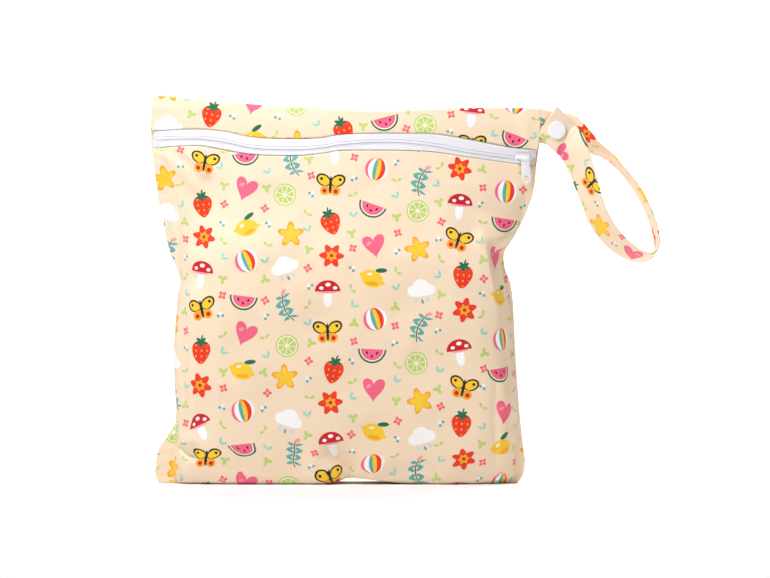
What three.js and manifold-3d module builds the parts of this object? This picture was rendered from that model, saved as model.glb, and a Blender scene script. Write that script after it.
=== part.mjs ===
// A zipped cloth wet bag with a wrist strap, standing on its base with soft contents inside.
// Millimetres, +Z up. The front faces -Y and the strap leaves the right side, +X.
// The origin lies on the floor, under the middle of the stuffed body.
import * as THREE from "three";
import Module from "manifold-3d";
import { mergeVertices } from "three/addons/utils/BufferGeometryUtils.js";

// Driving sizes of the bag
const bagWidth = 280; // seam to seam, cut flat
const bagHeight = 278; // floor to the higher top corner, as it stands
const bagDepth = 54; // front to back at the fullest height
const clothWall = 1.5;
const seamGap = 0.3; // left open where two pieces of cloth are sewn together
const pieceGap = 0.3; // between pieces that lie on each other
const baseRadius = 8; // the rounded lower edge of the body
const seamSetBack = 9; // how far the bottom seam has rolled to the back

// Driving sizes of the zip
const tapeWall = 0.8;
const tapeHidden = 5; // tape under each cloth edge
const tapeSplit = 0.4; // between the two tapes, under the coil
const coilWidth = 4.2;
const coilHeight = 1.4;
const sliderLength = 11.5;
const sliderWidth = 7.6;
const sliderPlate = 1.3;
const sliderFromSeam = 10.8; // slider's middle to the side seam
const barRadius = 0.65;
const footWidth = 1.3; // the bar's two feet stand at the slider's ends
const pullLength = 20; // bar to tip
const pullWall = 1.1;
const pullNeck = 5.4;
const pullTipWidth = 7.7;
const pullHoleRadius = 1.75;
const pullEyeWall = 0.9;
const runningGap = 0.35; // between the bar and the pull's eye
const pullRest = 0.8; // from the hanging pull to the cloth behind it

// Driving sizes of the strap and its snap
const strapWidth = 24;
const strapWall = 2;
const strapSewn = 9; // held between the two layers of the side seam
const strapBelowTop = 3.5; // from the bag's top corner to the strap's edge
const loopReach = 65; // how far the loop swings out past the flat part under the snap
const loopDrop = 91;
const lapLength = 9.6; // middle of the snap to the strap's cut end
const lapSlant = 49; // degrees between the lapped end and the sewn one
const snapOut = 11.4; // side seam to the middle of the snap
const snapCapRadius = 6.4;
const snapCapHeight = 1.5;
const snapCoreRadius = 5;
const snapCoreHeight = 3.2; // the joined socket and stud
const snapPostRadius = 1.2;
const snapHoleRadius = 1.6;

// Colours taken from the object
const clothCream = 0xf6dfc2;
const zipWhite = 0xf6f6f6;
const snapWhite = 0xfafafa;

// The bag's edge from the front, and how far its filling reaches towards that edge.
// height is a share of bagHeight, left and right of half bagWidth, the fills of left and right.
const outline = [
  { height: 0.0, left: 0.958, right: 0.878, fillLeft: 0.9, fillRight: 0.95 },
  { height: 0.02, left: 0.976, right: 0.906, fillLeft: 0.9, fillRight: 0.95 },
  { height: 0.055, left: 0.972, right: 0.916, fillLeft: 0.905, fillRight: 0.95 },
  { height: 0.09, left: 0.956, right: 0.908, fillLeft: 0.92, fillRight: 0.96 },
  { height: 0.125, left: 0.908, right: 0.9, fillLeft: 0.96, fillRight: 0.98 },
  { height: 0.16, left: 0.872, right: 0.892, fillLeft: 0.99, fillRight: 0.99 },
  { height: 0.26, left: 0.876, right: 0.876, fillLeft: 1.0, fillRight: 1.0 },
  { height: 0.34, left: 0.882, right: 0.867, fillLeft: 1.0, fillRight: 1.0 },
  { height: 0.43, left: 0.87, right: 0.859, fillLeft: 1.0, fillRight: 1.0 },
  { height: 0.48, left: 0.862, right: 0.852, fillLeft: 1.0, fillRight: 1.0 },
  { height: 0.52, left: 0.848, right: 0.838, fillLeft: 0.995, fillRight: 1.0 },
  { height: 0.555, left: 0.866, right: 0.813, fillLeft: 0.98, fillRight: 1.0 },
  { height: 0.595, left: 0.9, right: 0.811, fillLeft: 0.95, fillRight: 0.985 },
  { height: 0.635, left: 0.92, right: 0.862, fillLeft: 0.93, fillRight: 0.94 },
  { height: 0.69, left: 0.94, right: 0.916, fillLeft: 0.92, fillRight: 0.92 },
  { height: 0.75, left: 0.967, right: 0.957, fillLeft: 0.92, fillRight: 0.92 },
  { height: 0.82, left: 0.98, right: 0.975, fillLeft: 0.93, fillRight: 0.93 },
  { height: 0.88, left: 0.997, right: 0.99, fillLeft: 0.96, fillRight: 0.96 },
  { height: 0.96, left: 0.994, right: 1.0, fillLeft: 0.97, fillRight: 0.97 },
  { height: 1.0, left: 0.988, right: 1.0, fillLeft: 0.97, fillRight: 0.97 },
];

// How full the body is at its middle, as shares of half bagDepth, and how square its section is there.
const fullness = [
  { height: 0.0, front: 0.9, back: 0.88, squareness: 6.5 },
  { height: 0.08, front: 0.96, back: 0.94, squareness: 7 },
  { height: 0.2, front: 0.995, back: 0.98, squareness: 7 },
  { height: 0.36, front: 1.0, back: 1.0, squareness: 7 },
  { height: 0.5, front: 0.97, back: 0.98, squareness: 6.5 },
  { height: 0.57, front: 0.91, back: 0.93, squareness: 5.5 },
  { height: 0.62, front: 0.82, back: 0.84, squareness: 4.5 },
  { height: 0.7, front: 0.61, back: 0.63, squareness: 3.4 },
  { height: 0.78, front: 0.4, back: 0.41, squareness: 2.8 },
  { height: 0.86, front: 0.2, back: 0.2, squareness: 2.4 },
  { height: 0.93, front: 0.1, back: 0.08, squareness: 2.2 },
  { height: 1.0, front: 0.04, back: 0.03, squareness: 2 },
];

// The top edge and the zip, from the left side seam to the right one. at is a share of half bagWidth,
// top and zip are shares of bagHeight, and above and below of the tape that shows over and under the coil.
const tapeShowsAbove = 7.4;
const tapeShowsBelow = 5.6;
const topLine = [
  { at: -1.0, top: 1.0, zip: 0.879, above: 1.0, below: 0.8 },
  { at: -0.77, top: 0.989, zip: 0.882, above: 1.2, below: 0.7 },
  { at: -0.63, top: 0.981, zip: 0.872, above: 1.15, below: 0.75 },
  { at: -0.5, top: 0.976, zip: 0.862, above: 1.05, below: 0.85 },
  { at: -0.37, top: 0.971, zip: 0.858, above: 1.0, below: 1.0 },
  { at: -0.24, top: 0.968, zip: 0.859, above: 1.0, below: 1.05 },
  { at: -0.12, top: 0.965, zip: 0.867, above: 0.85, below: 1.1 },
  { at: -0.03, top: 0.962, zip: 0.873, above: 0.75, below: 1.1 },
  { at: 0.14, top: 0.959, zip: 0.875, above: 0.72, below: 0.95 },
  { at: 0.28, top: 0.96, zip: 0.877, above: 0.8, below: 0.85 },
  { at: 0.46, top: 0.963, zip: 0.872, above: 1.0, below: 1.15 },
  { at: 0.64, top: 0.966, zip: 0.856, above: 1.05, below: 1.15 },
  { at: 0.86, top: 0.966, zip: 0.838, above: 1.0, below: 0.95 },
  { at: 1.0, top: 0.964, zip: 0.831, above: 0.95, below: 0.9 },
];

// Folds and dents of the two big panels, each along a line from (x, height) to (toX, toHeight). x is a share
// of half bagWidth, height of bagHeight, and width and depth of half bagDepth. A negative depth is a crest.
const frontFolds = [
  { x: 0.775, height: 0.605, toX: 0.8, toHeight: 0.535, width: 0.28, depth: 0.36 },
  { x: 0.72, height: 0.615, toX: 0.74, toHeight: 0.5, width: 0.3, depth: -0.12 },
  { x: 0.82, height: 0.43, toX: 0.855, toHeight: 0.12, width: 0.15, depth: 0.12 },
  { x: -0.93, height: 0.815, toX: -0.81, toHeight: 0.79, width: 0.25, depth: 0.09 },
  { x: -0.93, height: 0.78, toX: -0.89, toHeight: 0.69, width: 0.22, depth: 0.09 },
  { x: -0.86, height: 0.6, toX: -0.78, toHeight: 0.54, width: 0.26, depth: 0.14 },
  { x: -0.83, height: 0.12, toX: -0.9, toHeight: 0.045, width: 0.26, depth: 0.16 },
  { x: 0.03, height: 0.0, toX: 0.0, toHeight: 0.06, width: 0.32, depth: 0.18 },
  { x: -0.4, height: 0.6, toX: 0.25, toHeight: 0.62, width: 0.45, depth: -0.05 },
];
const backFolds = [
  { x: -0.76, height: 0.6, toX: -0.8, toHeight: 0.53, width: 0.3, depth: 0.2 },
  { x: 0.8, height: 0.6, toX: 0.74, toHeight: 0.54, width: 0.3, depth: 0.2 },
  { x: -0.3, height: 0.63, toX: 0.35, toHeight: 0.6, width: 0.45, depth: -0.05 },
  { x: 0.55, height: 0.8, toX: 0.3, toHeight: 0.68, width: 0.35, depth: 0.08 },
  { x: -0.6, height: 0.82, toX: -0.4, toHeight: 0.7, width: 0.35, depth: 0.08 },
  { x: -0.2, height: 0.0, toX: -0.16, toHeight: 0.07, width: 0.34, depth: 0.14 },
];

// Where the front's lower edge has buckled off the floor: x and width are shares of half bagWidth,
// lift is a share of baseRadius.
const baseBuckle = { x: 0.04, width: 0.06, lift: 0.45 };

// The strap's middle line round the loop, from the flat part under the snap back to the lapped end.
// out is a share of loopReach, down of loopDrop, behind of strapWidth. turn is the strap's twist in degrees:
// 0 shows its face with the width upright, 90 shows its edge, 180 shows the other face.
const loopPath = [
  { out: 0.078, down: 0.035, behind: 0.05, turn: 30 },
  { out: 0.149, down: 0.068, behind: 0.12, turn: 47 },
  { out: 0.226, down: 0.094, behind: 0.18, turn: 59 },
  { out: 0.317, down: 0.14, behind: 0.2, turn: 68 },
  { out: 0.414, down: 0.178, behind: 0.2, turn: 75 },
  { out: 0.498, down: 0.222, behind: 0.18, turn: 79 },
  { out: 0.588, down: 0.29, behind: 0.15, turn: 82 },
  { out: 0.756, down: 0.44, behind: 0.08, turn: 82 },
  { out: 0.885, down: 0.61, behind: 0.03, turn: 82 },
  { out: 0.969, down: 0.775, behind: 0.0, turn: 83 },
  { out: 0.995, down: 0.89, behind: -0.02, turn: 86 },
  { out: 0.976, down: 0.955, behind: -0.04, turn: 93 },
  { out: 0.911, down: 0.995, behind: -0.06, turn: 103 },
  { out: 0.821, down: 0.998, behind: -0.08, turn: 111 },
  { out: 0.704, down: 0.965, behind: -0.11, turn: 117 },
  { out: 0.575, down: 0.9, behind: -0.15, turn: 122 },
  { out: 0.472, down: 0.825, behind: -0.19, turn: 125 },
  { out: 0.381, down: 0.735, behind: -0.23, turn: 127 },
  { out: 0.297, down: 0.61, behind: -0.28, turn: 128 },
  { out: 0.22, down: 0.45, behind: -0.34, turn: 131 },
  { out: 0.149, down: 0.3, behind: -0.38, turn: 137 },
  { out: 0.065, down: 0.15, behind: -0.36, turn: 150 },
  { out: 0.006, down: 0.085, behind: -0.28, turn: 168 },
];

const halfWidth = bagWidth / 2;
const halfDepth = bagDepth / 2;
const degree = Math.PI / 180;
const wasm = await Module();
wasm.setup();

// A smooth curve through a table, column `to` against column `from`, level past both ends.
function through(rows, from, to) {
  const x = rows.map((row) => row[from]);
  const y = rows.map((row) => row[to]);
  const last = x.length - 1;
  const slope = x.map((_, i) => {
    const before = Math.max(i - 1, 0);
    const after = Math.min(i + 1, last);
    return (y[after] - y[before]) / (x[after] - x[before]);
  });
  return (at) => {
    const t = Math.min(Math.max(at, x[0]), x[last]);
    const i = Math.min(Math.max(x.findIndex((v) => v > t) - 1, 0), last - 1);
    const k = t >= x[last] ? last - 1 : i;
    const span = x[k + 1] - x[k];
    const s = (t - x[k]) / span;
    const rise = s * s * (3 - 2 * s);
    const ease = s * (1 - s);
    return y[k] * (1 - rise) + y[k + 1] * rise + span * ease * (slope[k] * (1 - s) - slope[k + 1] * s);
  };
}

const edge = {};
for (const column of ["left", "right", "fillLeft", "fillRight"]) {
  edge[column] = through(outline, "height", column);
}
const full = {};
for (const column of ["front", "back", "squareness"]) {
  full[column] = through(fullness, "height", column);
}
const line = {};
for (const column of ["top", "zip", "above", "below"]) {
  line[column] = through(topLine, "at", column);
}

// x of a point at share u, -1 to 1, of the way across the bag at height z, drawn in from the seams by inset,
// and the share of a point at x.
function acrossBag(u, z, inset) {
  const left = edge.left(z / bagHeight) * halfWidth - inset;
  const right = edge.right(z / bagHeight) * halfWidth - inset;
  return (right - left) / 2 + ((right + left) / 2) * u;
}
function shareAcross(x, z) {
  const left = edge.left(z / bagHeight) * halfWidth;
  const right = edge.right(z / bagHeight) * halfWidth;
  return Math.min(Math.max((2 * x - right + left) / (right + left), -1), 1);
}

const topHeight = (u) => line.top(u) * bagHeight;
const strapHeight = topHeight(1) - strapBelowTop - strapWidth / 2;
const zipHeight = (u) => line.zip(u) * bagHeight;
const bandFoot = (u) => zipHeight(u) + line.above(u) * tapeShowsAbove;
const panelHead = (u) => zipHeight(u) - line.below(u) * tapeShowsBelow;

// A bell that is 1 in the middle and falls away over width.
const bell = (distance, width) => Math.exp(-((distance / width) ** 2));

// Distance from (x, z) to a fold's line.
function toFold(fold, x, z) {
  const start = [fold.x * halfWidth, fold.height * bagHeight];
  const run = [fold.toX * halfWidth - start[0], fold.toHeight * bagHeight - start[1]];
  const share = ((x - start[0]) * run[0] + (z - start[1]) * run[1]) / (run[0] ** 2 + run[1] ** 2);
  const held = Math.min(Math.max(share, 0), 1);
  return Math.hypot(x - start[0] - held * run[0], z - start[1] - held * run[1]);
}

// How far the filling pushes the cloth's inner face away from the seam's plane, less its folds.
function filling(side, x, z) {
  const height = z / bagHeight;
  const u = shareAcross(x, z);
  const fill = u < 0 ? edge.fillLeft(height) : edge.fillRight(height);
  const share = Math.min(Math.abs(u) / fill, 1);
  const section = Math.max(1 - share ** full.squareness(height), 0) ** 0.55;
  const middle = full[side](height) * (halfDepth - clothWall - seamGap / 2);
  let folded = 0;
  for (const fold of side === "front" ? frontFolds : backFolds) {
    folded += fold.depth * halfDepth * bell(toFold(fold, x, z), fold.width * halfDepth);
  }
  return Math.max(middle * section - folded * section ** 0.5, 0);
}

// How far the inner face stands off for what is sewn in: the tapes in front, and the strap's end in both.
const thinnest = 0.1;
const softEdge = 4; // how gently the cloth goes over a sewn-in layer
function sewnIn(side, x, z) {
  const tapeReach = 1.6 * (tapeHidden + tapeShowsAbove);
  const offTape = Math.max(Math.abs(z - zipHeight(shareAcross(x, z))) - tapeReach, 0);
  const tapes = side === "front" ? 2 * tapeWall * bell(offTape, 2 * tapeHidden) : 0;
  const offStrap = Math.max(Math.abs(z - strapHeight) - strapWidth / 2, 0);
  const offTongue = Math.max(halfWidth - strapSewn - x, 0);
  return thinnest + tapes + 0.65 * strapWall * bell(offStrap, softEdge) * bell(offTongue, softEdge);
}
const bulge = (side, x, z) => filling(side, x, z) + sewnIn(side, x, z);

// The cloth's rounded edge at a side seam: the share of the wall that stands there.
function rimShare(u) {
  const fromRim = (1 - Math.abs(u)) * halfWidth;
  const share = Math.min(fromRim / clothWall, 1);
  return 0.35 + 0.65 * Math.sqrt(1 - (1 - share) ** 2);
}

// Depth of the cloth's face from the seam's plane, drawn in by inset.
function clothDepth(side, u, z, inset) {
  return seamGap / 2 + (clothWall - inset) * rimShare(u) + bulge(side, acrossBag(u, z, inset), z);
}

// A point on the standing part of a panel.
function wallPoint(side, u, z, inset) {
  const facing = side === "front" ? -1 : 1;
  return new THREE.Vector3(acrossBag(u, z, inset), facing * clothDepth(side, u, z, inset), z);
}

// A point on a whole panel. v runs from the bottom seam along the floor, round the edge and up the wall.
const floorShare = 0.12;
const roundShare = 0.24;
function panelPoint(side, u, v, inset, head) {
  const facing = side === "front" ? -1 : 1;
  const buckle = baseRadius * baseBuckle.lift * bell(u - baseBuckle.x, baseBuckle.width);
  const lift = side === "front" ? buckle : 0;
  const depth = clothDepth(side, u, baseRadius, inset);
  const radius = Math.min(baseRadius - inset, 0.6 * (depth - seamGap / 2));
  const seam = seamSetBack * (1 - u * u) ** 2 + (facing * seamGap) / 2;
  const x = acrossBag(u, 0, inset);
  if (v <= floorShare) {
    const share = v / floorShare;
    const y = THREE.MathUtils.lerp(seam, facing * (depth - radius), share);
    return new THREE.Vector3(x, y, inset + lift * Math.max(3 * share - 2, 0));
  }
  if (v <= roundShare) {
    const turn = (((v - floorShare) / (roundShare - floorShare)) * Math.PI) / 2;
    const z = inset + radius * (1 - Math.cos(turn));
    const y = facing * (depth - radius * (1 - Math.sin(turn)));
    const settled = lift * (1 - turn / Math.PI);
    return new THREE.Vector3(acrossBag(u, z, inset), y, z + settled);
  }
  const share = (v - roundShare) / (1 - roundShare);
  const z = THREE.MathUtils.lerp(inset + radius, head(u), share);
  const point = wallPoint(side, u, z, inset);
  const atRound = clothDepth(side, u, Math.max(z, baseRadius), inset);
  point.y = facing * THREE.MathUtils.lerp(atRound, Math.abs(point.y), Math.min(share * 8, 1));
  point.z += (lift / 2) * (1 - share) ** 6;
  return point;
}

// A closed geometry from corner points and triangles, with its faces turned outwards.
function closedGeometry(points, triangles) {
  const normal = new THREE.Vector3();
  let volume = 0;
  for (const [a, b, c] of triangles) volume += points[a].dot(normal.crossVectors(points[b], points[c]));
  const turned = volume < 0 ? triangles.map(([a, b, c]) => [a, c, b]) : triangles;
  const geometry = new THREE.BufferGeometry().setFromPoints(points);
  geometry.setIndex(turned.flat());
  geometry.computeVertexNormals();
  return geometry;
}

// A thin shell: an outer face and an inner face on the same grid, joined round the rim.
function shellGeometry(acrosses, ups, outer, inner) {
  const faces = [outer, inner];
  const points = faces.flatMap((face) => ups.flatMap((v) => acrosses.map((u) => face(u, v))));
  const wide = acrosses.length;
  const high = ups.length;
  const index = (layer, row, column) => (layer * high + row) * wide + column;
  const triangles = [];
  const quad = (a, b, c, d) => triangles.push([a, b, c], [a, c, d]);
  for (let row = 0; row < high - 1; row++) {
    for (let column = 0; column < wide - 1; column++) {
      const corner = (layer, r, c) => index(layer, row + r, column + c);
      quad(corner(0, 0, 0), corner(0, 0, 1), corner(0, 1, 1), corner(0, 1, 0));
      quad(corner(1, 0, 0), corner(1, 1, 0), corner(1, 1, 1), corner(1, 0, 1));
    }
  }
  for (let column = 0; column < wide - 1; column++) {
    quad(index(0, 0, column), index(1, 0, column), index(1, 0, column + 1), index(0, 0, column + 1));
    const top = high - 1;
    quad(index(0, top, column + 1), index(1, top, column + 1), index(1, top, column), index(0, top, column));
  }
  for (let row = 0; row < high - 1; row++) {
    quad(index(0, row + 1, 0), index(1, row + 1, 0), index(1, row, 0), index(0, row, 0));
    const end = wide - 1;
    quad(index(0, row, end), index(1, row, end), index(1, row + 1, end), index(0, row + 1, end));
  }
  return closedGeometry(points, triangles);
}

// A solid lofted through closed sections that all have the same number of points, with flat ends.
function loftGeometry(sections) {
  const points = sections.flat();
  const around = sections[0].length;
  const triangles = [];
  for (let i = 0; i < sections.length - 1; i++) {
    for (let j = 0; j < around; j++) {
      const k = (j + 1) % around;
      const [a, b, c, d] = [i * around + j, i * around + k, (i + 1) * around + k, (i + 1) * around + j];
      triangles.push([a, b, c], [a, c, d]);
    }
  }
  const last = (sections.length - 1) * around;
  for (let j = 1; j < around - 1; j++) triangles.push([0, j + 1, j], [last, last + j, last + j + 1]);
  return closedGeometry(points, triangles);
}

// Steps from -1 to 1, closer together towards both ends, with the cloth's rounded rim at each end.
function acrossSteps(count) {
  const steps = [];
  for (let i = 0; i <= count; i++) {
    const even = (2 * i) / count - 1;
    steps.push(0.55 * even + 0.45 * Math.sin((even * Math.PI) / 2));
  }
  const rim = 1 - clothWall / halfWidth;
  steps.splice(1, 0, -rim);
  steps.splice(steps.length - 1, 0, rim);
  return steps;
}

function evenSteps(count, from = 0, to = 1) {
  return Array.from({ length: count + 1 }, (_, i) => from + ((to - from) * i) / count);
}

const acrossFront = acrossSteps(27);

// Rows up a panel: three along the floor, four round the lower edge, then the wall, closer at its head.
const headShare = 0.92;
const panelRows = (count) => [
  ...evenSteps(3, 0, floorShare),
  ...evenSteps(4, floorShare, roundShare).slice(1),
  ...evenSteps(count - 4, roundShare, headShare).slice(1),
  ...evenSteps(4, headShare, 1).slice(1),
];

function material(colour, roughness) {
  return new THREE.MeshStandardMaterial({ color: colour, roughness, metalness: 0 });
}
const cloth = material(clothCream, 0.75);
const tape = material(zipWhite, 0.85);
const enamel = material(zipWhite, 0.35);
const plastic = material(snapWhite, 0.4);

function piece(name, geometry, finish) {
  const mesh = new THREE.Mesh(geometry, finish);
  mesh.name = name;
  return mesh;
}

// A manifold-3d solid from a three.js geometry, and the way back.
function solidOf(geometry) {
  const plain = geometry.clone();
  for (const name of ["normal", "uv"]) plain.deleteAttribute(name);
  const merged = mergeVertices(plain, 1e-4);
  const triVerts = new Uint32Array(merged.index.array);
  const vertProperties = new Float32Array(merged.attributes.position.array);
  return new wasm.Manifold(new wasm.Mesh({ numProp: 3, vertProperties, triVerts }));
}
function geometryOf(solid) {
  const mesh = solid.getMesh();
  const geometry = new THREE.BufferGeometry();
  geometry.setAttribute("position", new THREE.BufferAttribute(new Float32Array(mesh.vertProperties), 3));
  geometry.setIndex(new THREE.BufferAttribute(new Uint32Array(mesh.triVerts), 1));
  geometry.computeVertexNormals();
  return geometry;
}
function joined(...geometries) {
  return geometryOf(geometries.map(solidOf).reduce((sum, next) => sum.add(next)));
}
function cutFrom(geometry, ...tools) {
  return geometryOf([geometry, ...tools].map(solidOf).reduce((rest, tool) => rest.subtract(tool)));
}

// The cloth: the front below the zip, the band above it, and the back in one piece.
function frontPanel() {
  const outer = (u, v) => panelPoint("front", u, v, 0, panelHead);
  const inner = (u, v) => panelPoint("front", u, v, clothWall, panelHead);
  return piece("front_panel", shellGeometry(acrossFront, panelRows(20), outer, inner), cloth);
}
function backPanel() {
  const outer = (u, v) => panelPoint("back", u, v, 0, topHeight);
  const inner = (u, v) => panelPoint("back", u, v, clothWall, topHeight);
  return piece("back_panel", shellGeometry(acrossSteps(25), panelRows(22), outer, inner), cloth);
}
function topBand() {
  const rise = (u, v) => THREE.MathUtils.lerp(bandFoot(u), topHeight(u), v);
  const face = (inset) => (u, v) => wallPoint("front", u, rise(u, v), inset);
  return piece("top_band", shellGeometry(acrossFront, evenSteps(4), face(0), face(clothWall)), cloth);
}

// The zip: two tapes under the cloth's edges, and the coil over their split.
const tapeDepth = (u, z) => clothDepth("front", u, z, clothWall) - pieceGap;
function zipTape(name, foot, head) {
  const face = (inset) => (u, v) => {
    const z = THREE.MathUtils.lerp(foot(u), head(u), v);
    return new THREE.Vector3(acrossBag(u, z, clothWall), inset - tapeDepth(u, z), z);
  };
  return piece(name, shellGeometry(acrossFront, evenSteps(3), face(0), face(tapeWall)), tape);
}
const lowerTape = () =>
  zipTape("zipper_tape_lower", (u) => panelHead(u) - tapeHidden, (u) => zipHeight(u) - tapeSplit / 2);
const upperTape = () =>
  zipTape("zipper_tape_upper", (u) => zipHeight(u) + tapeSplit / 2, (u) => bandFoot(u) + tapeHidden);

const coilFoot = (u, z) => tapeDepth(u, z) + pieceGap;
function zipCoil() {
  const section = (u) =>
    evenSteps(5, 0, Math.PI).map((angle) => {
      const z = zipHeight(u) + (coilWidth / 2) * Math.cos(angle);
      const y = -coilFoot(u, z) - coilHeight * Math.sin(angle);
      return new THREE.Vector3(acrossBag(u, z, clothWall), y, z);
    });
  return piece("zipper_coil", loftGeometry(acrossFront.map(section)), tape);
}

// The slider sits level on the zip, near its right end.
const sliderSpot = (() => {
  const end = shareAcross(halfWidth, zipHeight(1));
  const place = end - sliderFromSeam / halfWidth;
  const step = sliderLength / 2 / halfWidth;
  const shares = evenSteps(4, place - step, Math.min(place + step, 1));
  const heights = [panelHead, zipHeight, bandFoot];
  const seat = Math.max(...shares.flatMap((u) => heights.map((at) => clothDepth("front", u, at(u), 0))));
  const onCoil = Math.max(...shares.map((u) => coilFoot(u, zipHeight(u)) + coilHeight));
  return {
    x: acrossBag(place, zipHeight(place), 0),
    z: zipHeight(place),
    depth: Math.max(seat, onCoil) + pieceGap,
  };
})();
const eyeInner = barRadius + runningGap;
const eyeOuter = eyeInner + pullEyeWall;
const barDepth = sliderSpot.depth + sliderPlate + pieceGap + eyeOuter;
const barSpan = sliderLength - 2 * footWidth;
const pullShift = (barSpan - pullNeck) / 2 - pieceGap; // the pull hangs at the bar's right end

// A cylinder along X, centred where it is put.
function rodAlongX(radius, length, x, y, z, sides = 16) {
  return new THREE.CylinderGeometry(radius, radius, length, sides).rotateZ(Math.PI / 2).translate(x, y, z);
}

function slider() {
  const half = { length: sliderLength / 2, width: sliderWidth / 2 };
  const outlineShape = new THREE.Shape();
  outlineShape.moveTo(-half.length, -half.width * 0.62);
  outlineShape.quadraticCurveTo(-half.length * 0.4, -half.width, half.length * 0.5, -half.width);
  outlineShape.quadraticCurveTo(half.length, -half.width, half.length, -half.width * 0.4);
  outlineShape.lineTo(half.length, half.width * 0.4);
  outlineShape.quadraticCurveTo(half.length, half.width, half.length * 0.5, half.width);
  outlineShape.quadraticCurveTo(-half.length * 0.4, half.width, -half.length, half.width * 0.62);
  outlineShape.closePath();
  const extrusion = { depth: sliderPlate, bevelEnabled: false, curveSegments: 6 };
  const plate = new THREE.ExtrudeGeometry(outlineShape, extrusion);
  plate.rotateX(Math.PI / 2).translate(0, -sliderSpot.depth, 0);
  const footTop = barDepth + barRadius;
  const footHeight = footTop - sliderSpot.depth - sliderPlate / 2;
  const footX = barSpan / 2 + footWidth / 2;
  const feet = [-footX, footX].map((x) =>
    new THREE.BoxGeometry(footWidth, footHeight, 3 * barRadius).translate(x, footHeight / 2 - footTop, 0),
  );
  const bar = rodAlongX(barRadius, barSpan + footWidth, 0, -barDepth, 0);
  const mesh = piece("zipper_slider", joined(plate, ...feet, bar), enamel);
  mesh.position.set(sliderSpot.x, 0, sliderSpot.z);
  return mesh;
}

// The pull hangs from the bar and leans out just enough to lie clear of the cloth behind it.
const pullSpot = { x: sliderSpot.x + pullShift, z: sliderSpot.z };
const pullLean = (() => {
  const half = pullTipWidth / 2;
  const leans = evenSteps(8, 0.3, 1).flatMap((share) => {
    const z = pullSpot.z - share * pullLength;
    return [-half, 0, half].map((side) => {
      const cover = clothDepth("front", shareAcross(pullSpot.x + side, z), z, 0);
      return Math.atan2(cover + pullRest + pullWall / 2 - barDepth, share * pullLength);
    });
  });
  return Math.max(...leans, 0);
})();

function pull() {
  const tip = pullTipWidth / 2;
  const neck = pullNeck / 2;
  const face = new THREE.Shape();
  face.moveTo(-neck, -eyeInner - pullEyeWall / 2);
  face.lineTo(-tip, -pullLength + tip);
  face.absarc(0, -pullLength + tip, tip, Math.PI, 2 * Math.PI, false);
  face.lineTo(neck, -eyeInner - pullEyeWall / 2);
  face.closePath();
  const hole = new THREE.Path();
  hole.absarc(0, -pullLength + tip, pullHoleRadius, 0, 2 * Math.PI, true);
  face.holes.push(hole);
  const tab = new THREE.ExtrudeGeometry(face, { depth: pullWall, bevelEnabled: false, curveSegments: 7 });
  tab.rotateX(Math.PI / 2).translate(0, pullWall / 2, 0);
  const eye = cutFrom(
    rodAlongX(eyeOuter, pullNeck, 0, 0, 0, 20),
    rodAlongX(eyeInner, 2 * pullNeck, 0, 0, 0, 20),
  );
  const mesh = piece("zipper_pull", joined(eye, tab), enamel);
  mesh.position.set(pullSpot.x, -barDepth, pullSpot.z);
  mesh.rotation.x = -pullLean;
  return mesh;
}

// The strap: one ribbon from the side seam, round the loop and back over its own start.
const seamEdge = acrossBag(1, strapHeight, 0);
const snapStack = strapWall + snapCoreHeight + 2 * pieceGap; // between the middles of the two layers
const snapSpot = new THREE.Vector3(seamEdge + snapOut, 0, strapHeight);
const snapFlat = snapCapRadius + 1; // the strap lies flat this far round the snap's middle
const lapDirection = new THREE.Vector3(-Math.cos(lapSlant * degree), 0, Math.sin(lapSlant * degree));
function strapStations() {
  const sewn = [-strapSewn, 0, snapOut, snapOut + snapFlat].map((out) => ({
    at: new THREE.Vector3(seamEdge + out, 0, strapHeight),
    turn: 0,
  }));
  const loop = loopPath.map((row) => ({
    at: new THREE.Vector3(
      seamEdge + snapOut + snapFlat + row.out * loopReach,
      row.behind * strapWidth,
      strapHeight - row.down * loopDrop,
    ),
    turn: row.turn,
  }));
  const lap = [-snapFlat, 0, lapLength / 2, lapLength].map((along) => ({
    at: snapSpot.clone().addScaledVector(lapDirection, along).setY(-snapStack),
    turn: 180,
  }));
  return [...sewn, ...loop, ...lap];
}
function strapGeometry() {
  const stations = strapStations();
  const middle = new THREE.CatmullRomCurve3(stations.map((s) => s.at), false, "centripetal");
  const count = 3 * (stations.length - 1);
  const sections = [];
  for (let i = 0; i <= count; i++) {
    const t = i / count;
    const at = middle.getPoint(t);
    const along = middle.getTangent(t);
    const k = Math.min(Math.floor(t * (stations.length - 1)), stations.length - 2);
    const share = t * (stations.length - 1) - k;
    const turn = THREE.MathUtils.lerp(stations[k].turn, stations[k + 1].turn, share) * degree;
    const flat = new THREE.Vector3(-along.z, 0, along.x).normalize();
    const wide = flat.multiplyScalar(Math.cos(turn)).add(new THREE.Vector3(0, -Math.sin(turn), 0));
    wide.addScaledVector(along, -wide.dot(along)).normalize();
    const thick = new THREE.Vector3().crossVectors(along, wide).normalize();
    const [w, h] = [strapWidth / 2, strapWall / 2];
    const rounded = [[-w, 0], [-w + h, -h], [0, -h], [w - h, -h], [w, 0], [w - h, h], [0, h], [-w + h, h]];
    sections.push(rounded.map(([a, b]) => at.clone().addScaledVector(wide, a).addScaledVector(thick, b)));
  }
  return loftGeometry(sections);
}

// A cylinder along Y through the snap, from one depth to another.
function snapRod(radius, from, to, sides = 24) {
  return new THREE.CylinderGeometry(radius, radius, Math.abs(to - from), sides)
    .translate(0, (from + to) / 2, 0)
    .translate(snapSpot.x, 0, snapSpot.z);
}
function strap() {
  const holes = [
    snapRod(snapHoleRadius, -snapStack - strapWall, -snapStack + strapWall, 16),
    snapRod(snapHoleRadius, -strapWall, strapWall, 16),
  ];
  return piece("strap", cutFrom(strapGeometry(), ...holes), cloth);
}

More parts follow.
